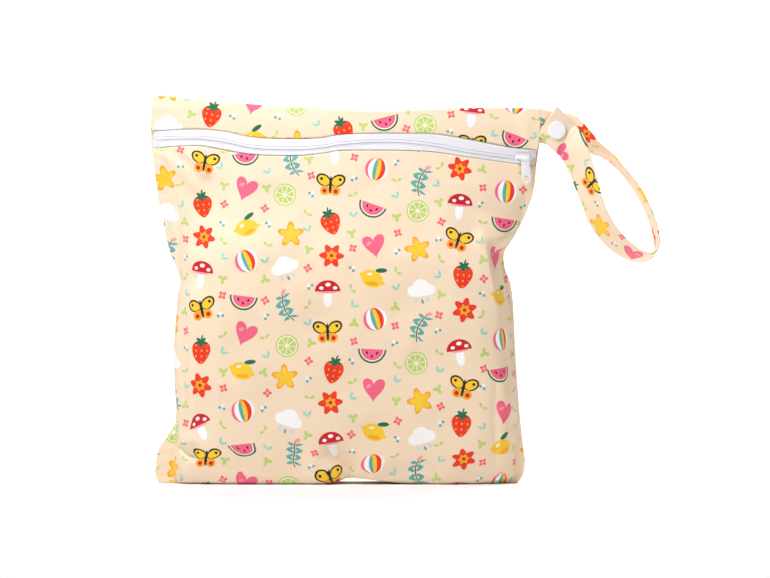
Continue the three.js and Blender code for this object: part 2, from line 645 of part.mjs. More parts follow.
// The snap: a domed cap on each side of the closed strap, and the joined socket and stud between its layers.
function snapCap(name, face, facing) {
  const rim = snapCapHeight * 0.35;
  const dome = evenSteps(5, 0, Math.PI / 2).map((angle) => new THREE.Vector2(
    snapCapRadius - rim * (1 - Math.cos(angle)) - (angle === Math.PI / 2 ? snapCapRadius - rim : 0),
    rim + (snapCapHeight - rim) * Math.sin(angle),
  ));
  const post = -strapWall - pieceGap;
  const profile = [
    new THREE.Vector2(0, post),
    new THREE.Vector2(snapPostRadius, post),
    new THREE.Vector2(snapPostRadius, 0),
    new THREE.Vector2(snapCapRadius - rim / 2, 0),
    ...dome,
  ];
  const turned = new THREE.LatheGeometry(profile, 28).scale(1, facing, 1);
  if (facing < 0) turned.index.array.reverse();
  turned.translate(snapSpot.x, face + facing * pieceGap, snapSpot.z);
  return piece(name, turned, plastic);
}
const frontCap = () => snapCap("snap_cap", -snapStack - strapWall / 2, -1);
const backCap = () => snapCap("snap_back_cap", strapWall / 2, 1);
function snapCore() {
  const from = -strapWall / 2 - pieceGap;
  return piece("snap_core", snapRod(snapCoreRadius, from, from - snapCoreHeight), plastic);
}

const bag = new THREE.Group();
bag.add(frontPanel(), topBand(), backPanel());
bag.add(lowerTape(), upperTape(), zipCoil(), slider(), pull());
bag.add(strap(), frontCap(), snapCore(), backCap());

export default bag;
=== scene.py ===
import math

import bmesh
import bpy
import numpy as np
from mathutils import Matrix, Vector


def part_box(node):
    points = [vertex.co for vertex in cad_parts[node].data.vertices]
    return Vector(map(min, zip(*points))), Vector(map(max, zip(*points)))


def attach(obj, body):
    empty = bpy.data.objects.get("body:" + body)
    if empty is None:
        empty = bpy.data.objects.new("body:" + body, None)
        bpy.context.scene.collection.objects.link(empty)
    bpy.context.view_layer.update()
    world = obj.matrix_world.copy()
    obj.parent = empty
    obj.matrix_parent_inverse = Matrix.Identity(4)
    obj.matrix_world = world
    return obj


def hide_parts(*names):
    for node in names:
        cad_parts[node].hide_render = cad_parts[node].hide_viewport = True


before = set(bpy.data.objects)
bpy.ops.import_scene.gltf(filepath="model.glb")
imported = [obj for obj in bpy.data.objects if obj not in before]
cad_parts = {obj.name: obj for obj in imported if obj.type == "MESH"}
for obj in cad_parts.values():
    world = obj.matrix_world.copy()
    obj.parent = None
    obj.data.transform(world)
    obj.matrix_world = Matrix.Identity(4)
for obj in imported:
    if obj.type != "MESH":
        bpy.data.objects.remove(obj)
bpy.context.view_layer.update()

millimetre = 0.001
print("frame loaded:", len(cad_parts), "nodes")

# the bag's sizes in millimetres, as the solids have them, apart from the gap between its two layers, which is
# drawn shut here; the inner side's edges are drawn in by a share of the wall
bag = {
    "width": 280.0, "height": 278.0, "depth": 54.0, "wall": 1.5, "seamGap": 0.06, "innerDraw": 0.1,
    "baseRadius": 8.0, "seamSetBack": 9.0, "body": "bag",
    "notchAt": 3.0, "notchLift": 4.4, "notchLeft": 9.0, "notchRight": 27.0,
}
zipSizes = {
    "tapeWall": 0.8, "tapeHidden": 5.0, "tapeSplit": 0.4, "showsAbove": 7.4, "showsBelow": 5.6, "gap": 0.3,
}
strapSizes = {
    "width": 24.0, "wall": 2.0, "sewn": 9.0, "belowTop": 3.5, "reach": 65.0, "drop": 91.0,
    "snapOut": 11.4, "snapFlat": 7.4, "coreHeight": 3.2, "lap": 10.2, "lapSlant": 47.0,
    "seamRise": 3.0, "seamForward": 2.2, "skew": 2.4,
}


def table(columns, *rows):
    # rows of numbers, each as a dictionary under the names in columns
    return [dict(zip(columns.split(), row)) for row in rows]



# edge of the bag: height is a share of its height, left and right of half its width,
# and the fills say how far the stuffing reaches towards that edge
outlineRows = table(
    "height left right fillLeft fillRight",
    (0.0, 0.958, 0.878, 0.9, 0.95),
    (0.02, 0.976, 0.906, 0.9, 0.95),
    (0.055, 0.972, 0.916, 0.905, 0.95),
    (0.09, 0.956, 0.908, 0.92, 0.96),
    (0.125, 0.908, 0.9, 0.96, 0.98),
    (0.16, 0.872, 0.892, 0.99, 0.99),
    (0.26, 0.876, 0.876, 1.0, 1.0),
    (0.34, 0.882, 0.867, 1.0, 1.0),
    (0.43, 0.87, 0.859, 1.0, 1.0),
    (0.48, 0.862, 0.852, 1.0, 1.0),
    (0.52, 0.848, 0.838, 0.995, 1.0),
    (0.555, 0.866, 0.813, 0.98, 1.0),
    (0.595, 0.9, 0.811, 0.95, 0.985),
    (0.635, 0.92, 0.862, 0.93, 0.99),
    (0.69, 0.94, 0.916, 0.92, 0.98),
    (0.75, 0.967, 0.957, 0.92, 0.96),
    (0.82, 0.98, 0.975, 0.93, 0.93),
    (0.88, 0.997, 0.99, 0.96, 0.96),
    (0.96, 0.994, 1.0, 0.97, 0.97),
    (1.0, 0.988, 1.0, 0.97, 0.97),
)
# fullness at the middle, as shares of half the depth, with how square and how round the section is
fullRows = table(
    "height front back square round",
    (0.0, 0.82, 0.86, 6.5, 0.5),
    (0.08, 0.87, 0.92, 7.0, 0.5),
    (0.2, 0.93, 0.97, 7.0, 0.5),
    (0.36, 0.985, 1.0, 7.0, 0.5),
    (0.5, 1.0, 0.98, 6.5, 0.52),
    (0.57, 0.94, 0.93, 5.5, 0.58),
    (0.62, 0.82, 0.84, 4.5, 0.68),
    (0.7, 0.61, 0.63, 3.4, 0.8),
    (0.78, 0.4, 0.41, 2.8, 0.9),
    (0.86, 0.2, 0.2, 2.4, 1.0),
    (0.93, 0.1, 0.08, 2.2, 1.0),
    (1.0, 0.04, 0.03, 2.0, 1.0),
)
# top edge and zip from seam to seam: at is a share of half the width, top and zip are shares of the height
topRows = table(
    "at top zip above below",
    (-1.0, 1.0, 0.886, 0.77, 1.28),
    (-0.77, 0.989, 0.889, 0.86, 1.05),
    (-0.63, 0.981, 0.881, 0.96, 1.21),
    (-0.5, 0.976, 0.867, 0.97, 1.05),
    (-0.37, 0.971, 0.862, 0.96, 0.98),
    (-0.24, 0.968, 0.8616, 0.95, 0.96),
    (-0.12, 0.965, 0.866, 0.89, 0.91),
    (-0.03, 0.962, 0.8735, 0.9, 0.93),
    (0.14, 0.959, 0.88, 0.78, 1.2),
    (0.28, 0.96, 0.88, 0.78, 1.23),
    (0.46, 0.963, 0.8706, 1.08, 0.96),
    (0.64, 0.966, 0.8543, 1.16, 0.79),
    (0.86, 0.966, 0.8396, 0.95, 0.8),
    (1.0, 0.964, 0.832, 0.95, 0.85),
)
# strap's middle line round the loop: out is a share of its reach, down of its drop, behind of its width,
# and turn is its twist in degrees
loopRows = table(
    "out down behind turn",
    (0.078, 0.035, 0.05, 30), (0.149, 0.068, 0.12, 47), (0.226, 0.094, 0.18, 59),
    (0.317, 0.14, 0.2, 68), (0.414, 0.178, 0.2, 75), (0.498, 0.222, 0.18, 79),
    (0.588, 0.29, 0.15, 82), (0.756, 0.44, 0.08, 82), (0.885, 0.61, 0.03, 82),
    (0.969, 0.775, 0.0, 83), (0.995, 0.89, -0.02, 86), (0.976, 0.955, -0.04, 93),
    (0.911, 0.995, -0.06, 103), (0.821, 0.998, -0.08, 111), (0.704, 0.965, -0.11, 117),
    (0.575, 0.9, -0.15, 122), (0.472, 0.825, -0.19, 125), (0.381, 0.735, -0.23, 127),
    (0.297, 0.61, -0.28, 128), (0.22, 0.45, -0.34, 131), (0.149, 0.3, -0.38, 137),
    (0.065, 0.15, -0.36, 150), (0.006, 0.085, -0.28, 168),
)

# folds of the front and the back, in millimetres: each runs from (x, z) to (toX, toZ) and bows out sideways
# by bend, a positive depth is a groove and a negative one a crest, and sharp 1 is a crease, 2 a soft roll
frontFolds = table(
    "x z toX toZ bend width depth sharp",
    (99, 175.5, 116, 168, -1, 5.5, -4.0, 2),
    (-127, 232, -110, 213, -1.5, 4.6, -2.4, 2),
    (-123, 243, -102, 223, -2, 4.2, -3.4, 2),
    (-131, 222, -124, 172, -3, 5.0, 3.6, 1.4),
    (-124, 218, -117, 176, -3, 4.5, -2.6, 1.8),
    (-111, 208, -106, 170, -3, 5.5, 1.3, 1.8),
    (-121, 170, -108, 148, 2, 6.0, 4.4, 1.4),
    (-114, 143, -115, 62, 2, 3.2, 2.6, 1.4),
    (-108, 150, -109, 52, 1, 4.0, -1.2, 1.8),
    (-118, 34, -126, 6, 3, 4.4, 4.6, 1.3),
    (-127, 40, -111, 32, 2, 4.2, -3.6, 1.7),
    (-117, 25, -109, 20, 1, 2.4, 6.0, 1.3),
    (-120, 19, -116, 8, 1, 4.0, -2.0, 1.8),
    (5, 1, -9, 22, 2, 5.5, 6.5, 1.4),
    (-18, 2, -22, 20, -1, 7.0, -1.2, 2),
    (20, 5, 60, 9, -2, 5.0, 1.6, 1.8),
    (84, 199, 124, 190, 2.5, 5.5, 2.2, 1.7),
    (121, 44, 124, 8, 1, 4.0, 2.2, 1.4),
    (107, 70, 107, 18, 1, 3.0, 1.5, 1.4),
    (101, 3, 121, 1, 0, 2.6, 2.4, 1.3),
    (-52, 214, -30, 182, 6, 13.0, 1.2, 2),
    (40, 216, 58, 186, -5, 13.0, 1.1, 2),
    (-60, 168, 40, 172, 3, 12.0, -1.0, 2),
)
backFolds = table(
    "x z toX toZ bend width depth sharp",
    (-106, 166, -112, 146, 1, 7.0, 5.0, 1.5),
    (112, 166, 104, 150, 1, 7.0, 5.0, 1.5),
    (78, 222, 44, 188, 4, 9.0, 2.2, 1.8),
    (-84, 228, -56, 194, -4, 9.0, 2.2, 1.8),
    (-20, 226, -8, 196, 5, 11.0, 1.5, 2),
    (-28, 0, -22, 20, 2, 7.0, 3.6, 1.5),
    (50, 0, 58, 16, -2, 6.0, 2.2, 1.5),
    (116, 38, 122, 8, 2, 5.0, 2.0, 1.4),
    (-116, 38, -124, 8, -2, 6.0, 3.0, 1.4),
)
# the lower body's right side turns away behind an upright ridge: ridge in millimetres from the middle at each
# height, with the slope behind it and how much wider the stuffing is there; it ends in a ledge under the upper fold
sideRidge = table(
    "z ridge slope wide",
    (0, 116.5, 0.5, 1.0), (60, 113.5, 0.6, 1.0), (110, 110.0, 0.95, 1.0),
    (132, 107.5, 1.9, 1.1), (145, 105.0, 2.2, 1.25), (158, 102.5, 2.3, 1.3),
    (176, 100.0, 1.8, 1.25),
)
ledge = {"z": 170.5, "from": 102.0, "fall": 0.45, "soft": 0.6, "round": 0.5}
# long soft ripples of slack cloth: height in millimetres, wave in millimetres, heading in degrees
ripples = table(
    "wave heading height phase",
    (61, 24, 0.34, 0.3), (47, 101, 0.3, 1.9), (38, 143, 0.22, 4.2),
    (29, 62, 0.16, 2.6), (19, 171, 0.08, 5.1), (15, 118, 0.06, 0.8),
)


def curveThrough(rows, fromColumn, toColumn):
    # cubic pieces through the rows: value = y0 + (y1 - y0) * rise + span * ease * (slope0 * (1 - s) - slope1 * s)
    x = np.array([row[fromColumn] for row in rows], float)
    y = np.array([row[toColumn] for row in rows], float)
    before, after = np.maximum(np.arange(len(x)) - 1, 0), np.minimum(np.arange(len(x)) + 1, len(x) - 1)
    slope = (y[after] - y[before]) / (x[after] - x[before])

    def at(t):
        t = np.clip(t, x[0], x[-1])
        k = np.clip(np.searchsorted(x, t, side="right") - 1, 0, len(x) - 2)
        span = x[k + 1] - x[k]
        s = (t - x[k]) / span
        rise, ease = s * s * (3 - 2 * s), s * (1 - s)
        return y[k] * (1 - rise) + y[k + 1] * rise + span * ease * (slope[k] * (1 - s) - slope[k + 1] * s)

    return at


def curves(rows, fromColumn):
    # a curve through every other column of a table
    return {column: curveThrough(rows, fromColumn, column) for column in rows[0] if column != fromColumn}


edge = curves(outlineRows, "height")
full = curves(fullRows, "height")
topLine = curves(topRows, "at")
ridge = curves(sideRidge, "z")
halfWidth = bag["width"] / 2
halfDepth = bag["depth"] / 2


def fromSeam(u):
    # distance from the nearer side seam: (1 - |u|) * half the width
    return (1 - np.abs(u)) * halfWidth


def bell(distance, width):
    # exp(-(distance / width)^2)
    return np.exp(-((distance / width) ** 2))


def acrossBag(u, z, inset=0.0):
    # x = (right - left) / 2 + (right + left) / 2 * u, both edges drawn in by inset
    left = edge["left"](z / bag["height"]) * halfWidth - inset
    right = edge["right"](z / bag["height"]) * halfWidth - inset
    return (right - left) / 2 + (right + left) / 2 * u


def shareAcross(x, z):
    # u = (2 x - right + left) / (right + left), kept between -1 and 1
    left = edge["left"](z / bag["height"]) * halfWidth
    right = edge["right"](z / bag["height"]) * halfWidth
    return np.clip((2 * x - right + left) / (right + left), -1, 1)


def topHeight(u):
    # top edge: its share at u * the bag's height
    return topLine["top"](u) * bag["height"]


def zipHeight(u):
    # middle of the zip: its share at u * the bag's height
    return topLine["zip"](u) * bag["height"]


def bandFoot(u):
    # cloth edge above the zip: zip height + share above at u * what shows above
    return zipHeight(u) + topLine["above"](u) * zipSizes["showsAbove"]


def panelHead(u):
    # cloth edge below the zip: zip height - share below at u * what shows below
    return zipHeight(u) - topLine["below"](u) * zipSizes["showsBelow"]


def belowLedge(x, z):
    # 1 under the ledge and 0 above it: 1 / (1 + exp((z - ledge height + fall * (x - from)) / soft))
    return 1 / (1 + np.exp((z - ledge["z"] + ledge["fall"] * (x - ledge["from"])) / ledge["soft"]))


def sideCut(x, z):
    # slope * round * log(1 + exp((x - ridge) / round)), under the ledge alone
    past = (x - ridge["ridge"](z)) / ledge["round"]
    return ridge["slope"](z) * ledge["round"] * np.logaddexp(0, past) * belowLedge(x, z)


strapHeight = float(topHeight(1.0)) - strapSizes["belowTop"] - strapSizes["width"] / 2


def foldDepth(folds, x, z):
    # sum of depth * exp(-(|off line| / width)^sharp) * exp(-(past its ends / width)^2), the line bowed by bend
    total = np.zeros_like(x)
    for fold in folds:
        runX, runZ = fold["toX"] - fold["x"], fold["toZ"] - fold["z"]
        length = math.hypot(runX, runZ)
        along = ((x - fold["x"]) * runX + (z - fold["z"]) * runZ) / length
        aside = ((x - fold["x"]) * runZ - (z - fold["z"]) * runX) / length
        share = np.clip(along / length, 0, 1)
        past = np.maximum(np.maximum(-along, along - length), 0)
        off = np.abs(aside - fold["bend"] * 4 * share * (1 - share))
        total += fold["depth"] * np.exp(-((off / fold["width"]) ** fold["sharp"])) * bell(past, 1.4 * fold["width"])
    return total


def rippleHeight(x, z):
    # sum of height * sin(2 pi * (x cos heading + z sin heading) / wave + phase), bent a little by a slow wave
    total = np.zeros_like(x)
    for row in ripples:
        heading = math.radians(row["heading"])
        along = x * math.cos(heading) + z * math.sin(heading) + 5 * np.sin(0.021 * (z * math.cos(heading) - x))
        total += row["height"] * np.sin(2 * math.pi * along / row["wave"] + row["phase"])
    return total


# slack of the stuffed body: how far from the top seam the two layers begin to part and by which power, how wide the
# zip keeps the folds off, how wide a crest fades at the side, and how far along the back takes its ripples
slack = {"shutOver": 14, "shutPower": 0.6, "calmAtZip": 9, "crestFade": 10, "backAlong": 37.0}


def filling(side, x, z):
    # fullness * (1 - |u / fill|^square)^round, less the folds and the side's cut, * (from top / 14)^0.6
    height = z / bag["height"]
    u = shareAcross(x, z)
    fill = np.where(u < 0, edge["fillLeft"](height), edge["fillRight"](height))
    if side == "front":
        fill = np.where(u > 0, fill * (1 + (ridge["wide"](z) - 1) * belowLedge(x, z)), fill)
    share = np.minimum(np.abs(u) / fill, 1)
    section = np.maximum(1 - share ** full["square"](height), 0) ** full["round"](height)
    middle = full[side](height) * (halfDepth - bag["wall"] - bag["seamGap"] / 2)
    folds = foldDepth(frontFolds if side == "front" else backFolds, x, z)
    along = slack["backAlong"] if side == "back" else 0.0
    waves = rippleHeight(x + along, z) * np.minimum(section * 1.5, 1) * (0.35 + 0.9 * (1 - bell(middle, 16)))
    shut = np.clip((topHeight(u) - z) / slack["shutOver"], 0, 1) ** slack["shutPower"]
    if side == "back":
        return np.maximum(middle * section - folds * section ** 0.5 + waves, 0) * shut
    calm = 1 - bell(np.abs(z - zipHeight(u)), slack["calmAtZip"])
    edgeFade = np.minimum(fromSeam(u) / slack["crestFade"], 1)
    folds = np.where(folds > 0, folds * section ** 0.5, folds * edgeFade)
    return np.maximum(middle * section - (folds - waves) * calm - sideCut(x, z), 0) * shut


def sewnIn(side, x, z):
    # room for what is sewn in: the two tapes in front and the strap's end in both, each * a bell beyond its edge
    thinnest, softEdge = 0.1, 7.0
    reach = 1.6 * (zipSizes["tapeHidden"] + zipSizes["showsAbove"])
    offTape = np.maximum(np.abs(z - zipHeight(shareAcross(x, z))) - reach, 0)
    tapes = 2 * zipSizes["tapeWall"] * bell(offTape, 2 * zipSizes["tapeHidden"]) if side == "front" else 0
    offStrap = np.maximum(np.abs(z - strapHeight) - strapSizes["width"] / 2, 0)
    offTongue = np.maximum(halfWidth - strapSizes["sewn"] - x, 0)
    return thinnest + tapes + 0.65 * strapSizes["wall"] * bell(offStrap, softEdge) * bell(offTongue, softEdge)


gathers = {"height": 0.42, "reach": 7.0, "clear": 1.6, "wave": 8.7}


def pucker(side, u, z):
    # small gathers along a sewn edge: height * exp(-from seam / reach) * sin(2 pi z / wave + drift)
    off = fromSeam(u)
    drift = 1.6 * np.sin(z / 19.0) + (2.1 if side == "back" else 0) + np.where(u < 0, 1.3, 0)
    lively = 0.55 + 0.45 * np.sin(z / 31.0 + np.where(u < 0, 0.4, 2.2))
    fade = np.exp(-off / gathers["reach"]) * (1 - np.exp(-off / gathers["clear"]))
    return gathers["height"] * lively * fade * np.sin(2 * math.pi * z / gathers["wave"] + drift)


def clothDepth(side, u, z, inset):
    # half the seam gap + wall * rounded rim + filling + what is sewn in + gathers
    fromRim = np.minimum(fromSeam(u) / bag["wall"], 1)
    rim = 0.35 + 0.65 * np.sqrt(np.maximum(1 - (1 - fromRim) ** 2, 0))
    x = acrossBag(u, z)
    layer = bag["seamGap"] / 2 + (bag["wall"] - inset) * rim
    return layer + filling(side, x, z) + sewnIn(side, x, z) + pucker(side, u, z)


def foldedHem(fromEdge):
    # how far a folded edge turns under: 0.55 * wall * (1 - sqrt(1 - (1 - from edge / wall)^2))
    near = 1 - np.clip(fromEdge / bag["wall"], 0, 1)
    return bag["wall"] * 0.55 * (1 - np.sqrt(np.maximum(1 - near ** 2, 0)))


def stack(x, y, z):
    # three arrays as one array of points
    return np.stack(np.broadcast_arrays(x, y, z), axis=-1)


floorShare, roundShare = 0.1, 0.17  # of v along the floor, and to the end of the round lower edge


def panelPoints(side, u, v, inset, head):
    # v runs from the bottom seam along the floor, round the lower edge by angle turn, z = radius * (1 - cos turn),
    # and up the wall, where y is the cloth's depth less its hem
    facing = -1.0 if side == "front" else 1.0
    drawn = inset * bag["innerDraw"]
    u, v = np.meshgrid(u, v)
    base = bag["baseRadius"]
    off = acrossBag(u, 0 * u) - bag["notchAt"]
    lift = bag["notchLift"] * bell(off, np.where(off < 0, bag["notchLeft"], bag["notchRight"]))
    depth = clothDepth(side, u, np.full_like(u, base), inset)
    radius = np.minimum(base - inset, 0.6 * (depth - bag["seamGap"] / 2))
    seam = bag["seamSetBack"] * (1 - u * u) ** 2 + facing * bag["seamGap"] / 2
    along = np.clip(v / floorShare, 0, 1)
    yFloor = seam + (facing * (depth - radius) - seam) * along
    zFloor = inset + lift
    turn = np.clip((v - floorShare) / (roundShare - floorShare), 0, 1) * math.pi / 2
    zRound = inset + radius * (1 - np.cos(turn))
    yRound = facing * (depth - radius * (1 - np.sin(turn)))
    up = np.clip((v - roundShare) / (1 - roundShare), 0, 1)
    zWall = inset + radius + (head(u) - inset - radius) * up
    yWall = clothDepth(side, u, zWall, inset)
    fromHead = (head(u) - zWall) if inset == 0 else np.full_like(u, 99.0)
    yWall = facing * (yWall - foldedHem(fromHead))
    zSide = np.where(v <= roundShare, zRound, zWall)
    x = np.where(v <= floorShare, acrossBag(u, 0 * u, drawn), acrossBag(u, zSide, drawn))
    y = np.where(v <= floorShare, yFloor, np.where(v <= roundShare, yRound, yWall))
    z = np.where(v <= floorShare, zFloor, np.where(v <= roundShare, zRound + lift * (1 - turn / math.pi), zWall))
    z = z + np.where(v > roundShare, lift / 2 * (1 - up) ** 12, 0)
    return stack(x, y, z)


def acrossSteps(count):
    # even steps drawn towards both ends, where the section turns fast: u = 0.35 s + 0.65 sin(s pi / 2)
    s = np.linspace(-1, 1, count)
    return 0.35 * s + 0.65 * np.sin(s * math.pi / 2)


def panelSteps(floorRows, roundRows, wallRows):
    # rows along the floor, round the lower edge and up the wall, closer at the head for its folded edge
    wall = np.linspace(roundShare, 1, wallRows)
    headRows = 1 - 0.0062 * np.linspace(0, 1, 7)[::-1] ** 1.5
    return np.unique(np.concatenate([
        np.linspace(0, floorShare, floorRows), np.linspace(floorShare, roundShare, roundRows),
        wall[wall < headRows[0] - 0.001], headRows,
    ]))


def lengthAlong(points):
    # length from the first point to each one: the running sum of the distances between neighbours
    return np.concatenate([[0], np.cumsum(np.linalg.norm(np.diff(points, axis=0), axis=1))])


def unit(rows):
    # each row divided by its own length
    return rows / np.linalg.norm(rows, axis=1, keepdims=True)


def signedPower(value, power):
    # sign(value) * |value|^power, which squares a circle off
    return np.sign(value) * np.abs(value) ** power


def circle(count):
    # even angles once round: 2 pi k / count
    return np.arange(count) * 2 * math.pi / count


def flatCloth(points, shift, wallFrom=0):
    # print coordinates: across is the length along a row from x = 0, up is the length up the middle column,
    # which the wall's rows take by their height and the floor's rows by their number
    steps = np.linalg.norm(np.diff(points, axis=1), axis=2)
    across = np.concatenate([np.zeros((len(points), 1)), np.cumsum(steps, axis=1)], axis=1)
    across -= np.array([np.interp(0, row[:, 0], length) for row, length in zip(points, across)])[:, None]
    middle = points[:, points.shape[1] // 2]
    climb = lengthAlong(middle[:, 1:])
    up = np.repeat(climb[:, None], points.shape[1], axis=1)
    z = points[wallFrom:, :, 2]
    up[wallFrom:] = np.interp(z, middle[wallFrom:, 2], climb[wallFrom:])
    up[wallFrom:] += np.maximum(z - middle[-1, 2], 0) + np.minimum(z - middle[wallFrom, 2], 0)
    return (np.stack([across + shift[0], up + shift[1]], -1) / 100).reshape(-1, 2)


def inScene(name, data):
    # a new object of this name, in the scene
    made = bpy.data.objects.new(name, data)
    bpy.context.scene.collection.objects.link(made)
    return made


def makeMesh(name, points, faces, uv=None):
    # points in millimetres, faces as rows of four corners, uv as one pair for each point
    mesh = bpy.data.meshes.new(name)
    mesh.from_pydata((points * millimetre).tolist(), [], faces.tolist())
    mesh.polygons.foreach_set("use_smooth", np.full(len(mesh.polygons), True))
    if uv is not None:
        corners = np.empty(len(mesh.loops), np.int32)
        mesh.loops.foreach_get("vertex_index", corners)
        layer = mesh.uv_layers.new(name="flatCloth")
        layer.data.foreach_set("uv", uv[corners].astype(np.float32).ravel())
    mesh.validate()
    mesh.update()
    return inScene(name, mesh)


def gridFaces(rows, columns, start=0, flip=False, wrap=False):
    # four corners for each cell of a grid, wrap joining the last column to the first
    r, c = np.meshgrid(np.arange(rows - 1), np.arange(columns if wrap else columns - 1), indexing="ij")
    nextC = (c + 1) % columns
    faces = np.stack([r * columns + c, r * columns + nextC, (r + 1) * columns + nextC, (r + 1) * columns + c], -1)
    faces = faces.reshape(-1, 4) + start
    return faces[:, ::-1] if flip else faces


def rimFaces(rows, columns, flip):
    # the strip that joins the outer grid to the inner one all round
    index = np.arange(rows * columns).reshape(rows, columns)
    ring = np.concatenate([index[0], index[1:, -1], index[-1, :-1][::-1], index[1:-1, 0][::-1]])
    follow = np.roll(ring, -1)
    inner = rows * columns
    faces = np.stack([ring, ring + inner, follow + inner, follow], -1)
    return faces[:, ::-1] if flip else faces


def shell(name, outer, inner, uv, facing):
    # a closed sheet from an outer and an inner grid of the same size
    rows, columns = outer.shape[:2]
    flip = facing > 0
    points = np.concatenate([outer.reshape(-1, 3), inner.reshape(-1, 3)])
    faces = np.concatenate([
        gridFaces(rows, columns, 0, flip), gridFaces(rows, columns, rows * columns, not flip),
        rimFaces(rows, columns, flip),
    ])
    return makeMesh(name, points, faces, np.concatenate([uv, uv]))


def outwardsFacing(piece, merged=False):
    # turns the faces of a closed mesh outwards, after merging its doubles where asked
    work = bmesh.new()
    work.from_mesh(piece.data)
    if merged:
        bmesh.ops.remove_doubles(work, verts=work.verts, dist=1e-7)
        bmesh.ops.dissolve_degenerate(work, edges=work.edges, dist=1e-8)
    bmesh.ops.recalc_face_normals(work, faces=work.faces)
    work.to_mesh(piece.data)
    work.free()


def joinMesh(name, parts):
    # several closed grids in one mesh, each wrapped round and closed by its end rings
    points, faces, start = [], [], 0
    for grid in parts:
        rows, columns = grid.shape[:2]
        points.append(grid.reshape(-1, 3))
        faces.append(gridFaces(rows, columns, start, False, True))
        start += rows * columns
    piece = makeMesh(name, np.concatenate(points), np.concatenate(faces))
    outwardsFacing(piece, merged=True)
    piece.data.polygons.foreach_set("use_smooth", np.full(len(piece.data.polygons), True))
    return piece


def closedEnds(rings):
    # rings with a ring of one point at both ends, the mean of the last ring there
    ends = [np.repeat(rings[k].mean(axis=0)[None, None], rings.shape[1], axis=1) for k in (0, -1)]
    return np.concatenate([ends[0], rings, ends[1]])


def tubeMesh(name, points, uv):
    # one closed grid wrapped round, with its own print coordinates
    piece = makeMesh(name, points.reshape(-1, 3), gridFaces(*points.shape[:2], 0, False, True), uv)
    outwardsFacing(piece)
    return piece


def settle(piece, body, finish, node):
    # gives a piece its material and its body, and hides the solid it stands for
    piece.data.materials.append(finishes[finish])
    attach(piece, body)
    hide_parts(node)
    return piece


# camera: the photograph is 770 by 578 pixels of 0.716 mm, and its floor line lies at pixel row 483
photo = {
    "width": 770, "height": 578, "millimetresPerPixel": 0.716, "originColumn": 346, "floorRow": 483,
    "distance": 3.0, "elevation": 1.2,
}


def makeCamera():
    # lens = sensor * distance / frame width, aimed at the photograph's middle
    data = bpy.data.cameras.new("camera")
    frameWidth = photo["width"] * photo["millimetresPerPixel"] * millimetre
    data.sensor_width = 36.0
    data.lens = data.sensor_width * photo["distance"] / frameWidth
    data.clip_start, data.clip_end = 0.05, 20.0
    camera = inScene("camera", data)
    aimX = (photo["width"] / 2 - photo["originColumn"]) * photo["millimetresPerPixel"] * millimetre
    aimZ = (photo["floorRow"] - photo["height"] / 2) * photo["millimetresPerPixel"] * millimetre
    rise = math.radians(photo["elevation"])
    camera.location = (aimX, -photo["distance"] * math.cos(rise), aimZ + photo["distance"] * math.sin(rise))
    camera.rotation_euler = (math.pi / 2 - rise, 0, 0)
    bpy.context.scene.camera = camera


makeCamera()
print("camera made")


# materials: a socket that can be reckoned with, each operator adding its Math node
class Flow:
    def __init__(self, tree, socket):
        self.tree = tree
        self.socket = socket

    def node(self, kind, settings=None, inputs=None, output=0):
        made = self.tree.nodes.new(kind)
        for name, value in (settings or {}).items():
            setattr(made, name, value)
        for key, value in (inputs or {}).items():
            if isinstance(value, Flow):
                self.tree.links.new(value.socket, made.inputs[key])
            else:
                made.inputs[key].default_value = value
        return Flow(self.tree, made.outputs[output])

    def maths(self, operation, *values, clamp=False):
        return self.node("ShaderNodeMath", {"operation": operation, "use_clamp": clamp}, dict(enumerate(values)))

    def __add__(self, other):
        return self.maths("ADD", self, other)

    __radd__ = __add__

    def __sub__(self, other):
        return self.maths("SUBTRACT", self, other)

    def __rsub__(self, other):
        return self.maths("SUBTRACT", other, self)

    def __mul__(self, other):
        return self.maths("MULTIPLY", self, other)

    __rmul__ = __mul__

    def __truediv__(self, other):
        return self.maths("DIVIDE", self, other)

    def __neg__(self):
        return self.maths("MULTIPLY", self, -1.0)

    def __abs__(self):
        return self.maths("ABSOLUTE", self)

    def plus(self, factor, extra):
        # self * factor + extra in one node
        return self.maths("MULTIPLY_ADD", self, factor, extra)

    def mix(self, low, high):
        # the colour low where self is 0 and high where it is 1
        return self.node("ShaderNodeMix", {"data_type": "RGBA"}, {0: self, 6: low, 7: high}, 2)

    def over(self, colour, mask):
        # colour laid over self where mask is 1
        return mask.mix(self, colour)


def linear(red, green, blue):
    # a screen colour as light: ((c + 0.055) / 1.055)^2.4
    return tuple(c / 12.92 if c <= 0.04045 else ((c + 0.055) / 1.055) ** 2.4 for c in (red, green, blue)) + (1.0,)


def newMaterial(name):
    # an empty material with a Principled shader: the material, a flow to start from, and the shader
    made = bpy.data.materials.new(name)
    made.use_nodes = True
    tree = made.node_tree
    tree.nodes.clear()
    output = tree.nodes.new("ShaderNodeOutputMaterial")
    shader = tree.nodes.new("ShaderNodeBsdfPrincipled")
    tree.links.new(shader.outputs[0], output.inputs[0])
    return made, Flow(tree, None), shader


def dress(shader, sockets):
    # flows linked to the shader's sockets, and fixed values set on them
    for name, value in sockets.items():
        if isinstance(value, Flow):
            value.tree.links.new(value.socket, shader.inputs[name])
        else:
            shader.inputs[name].default_value = value


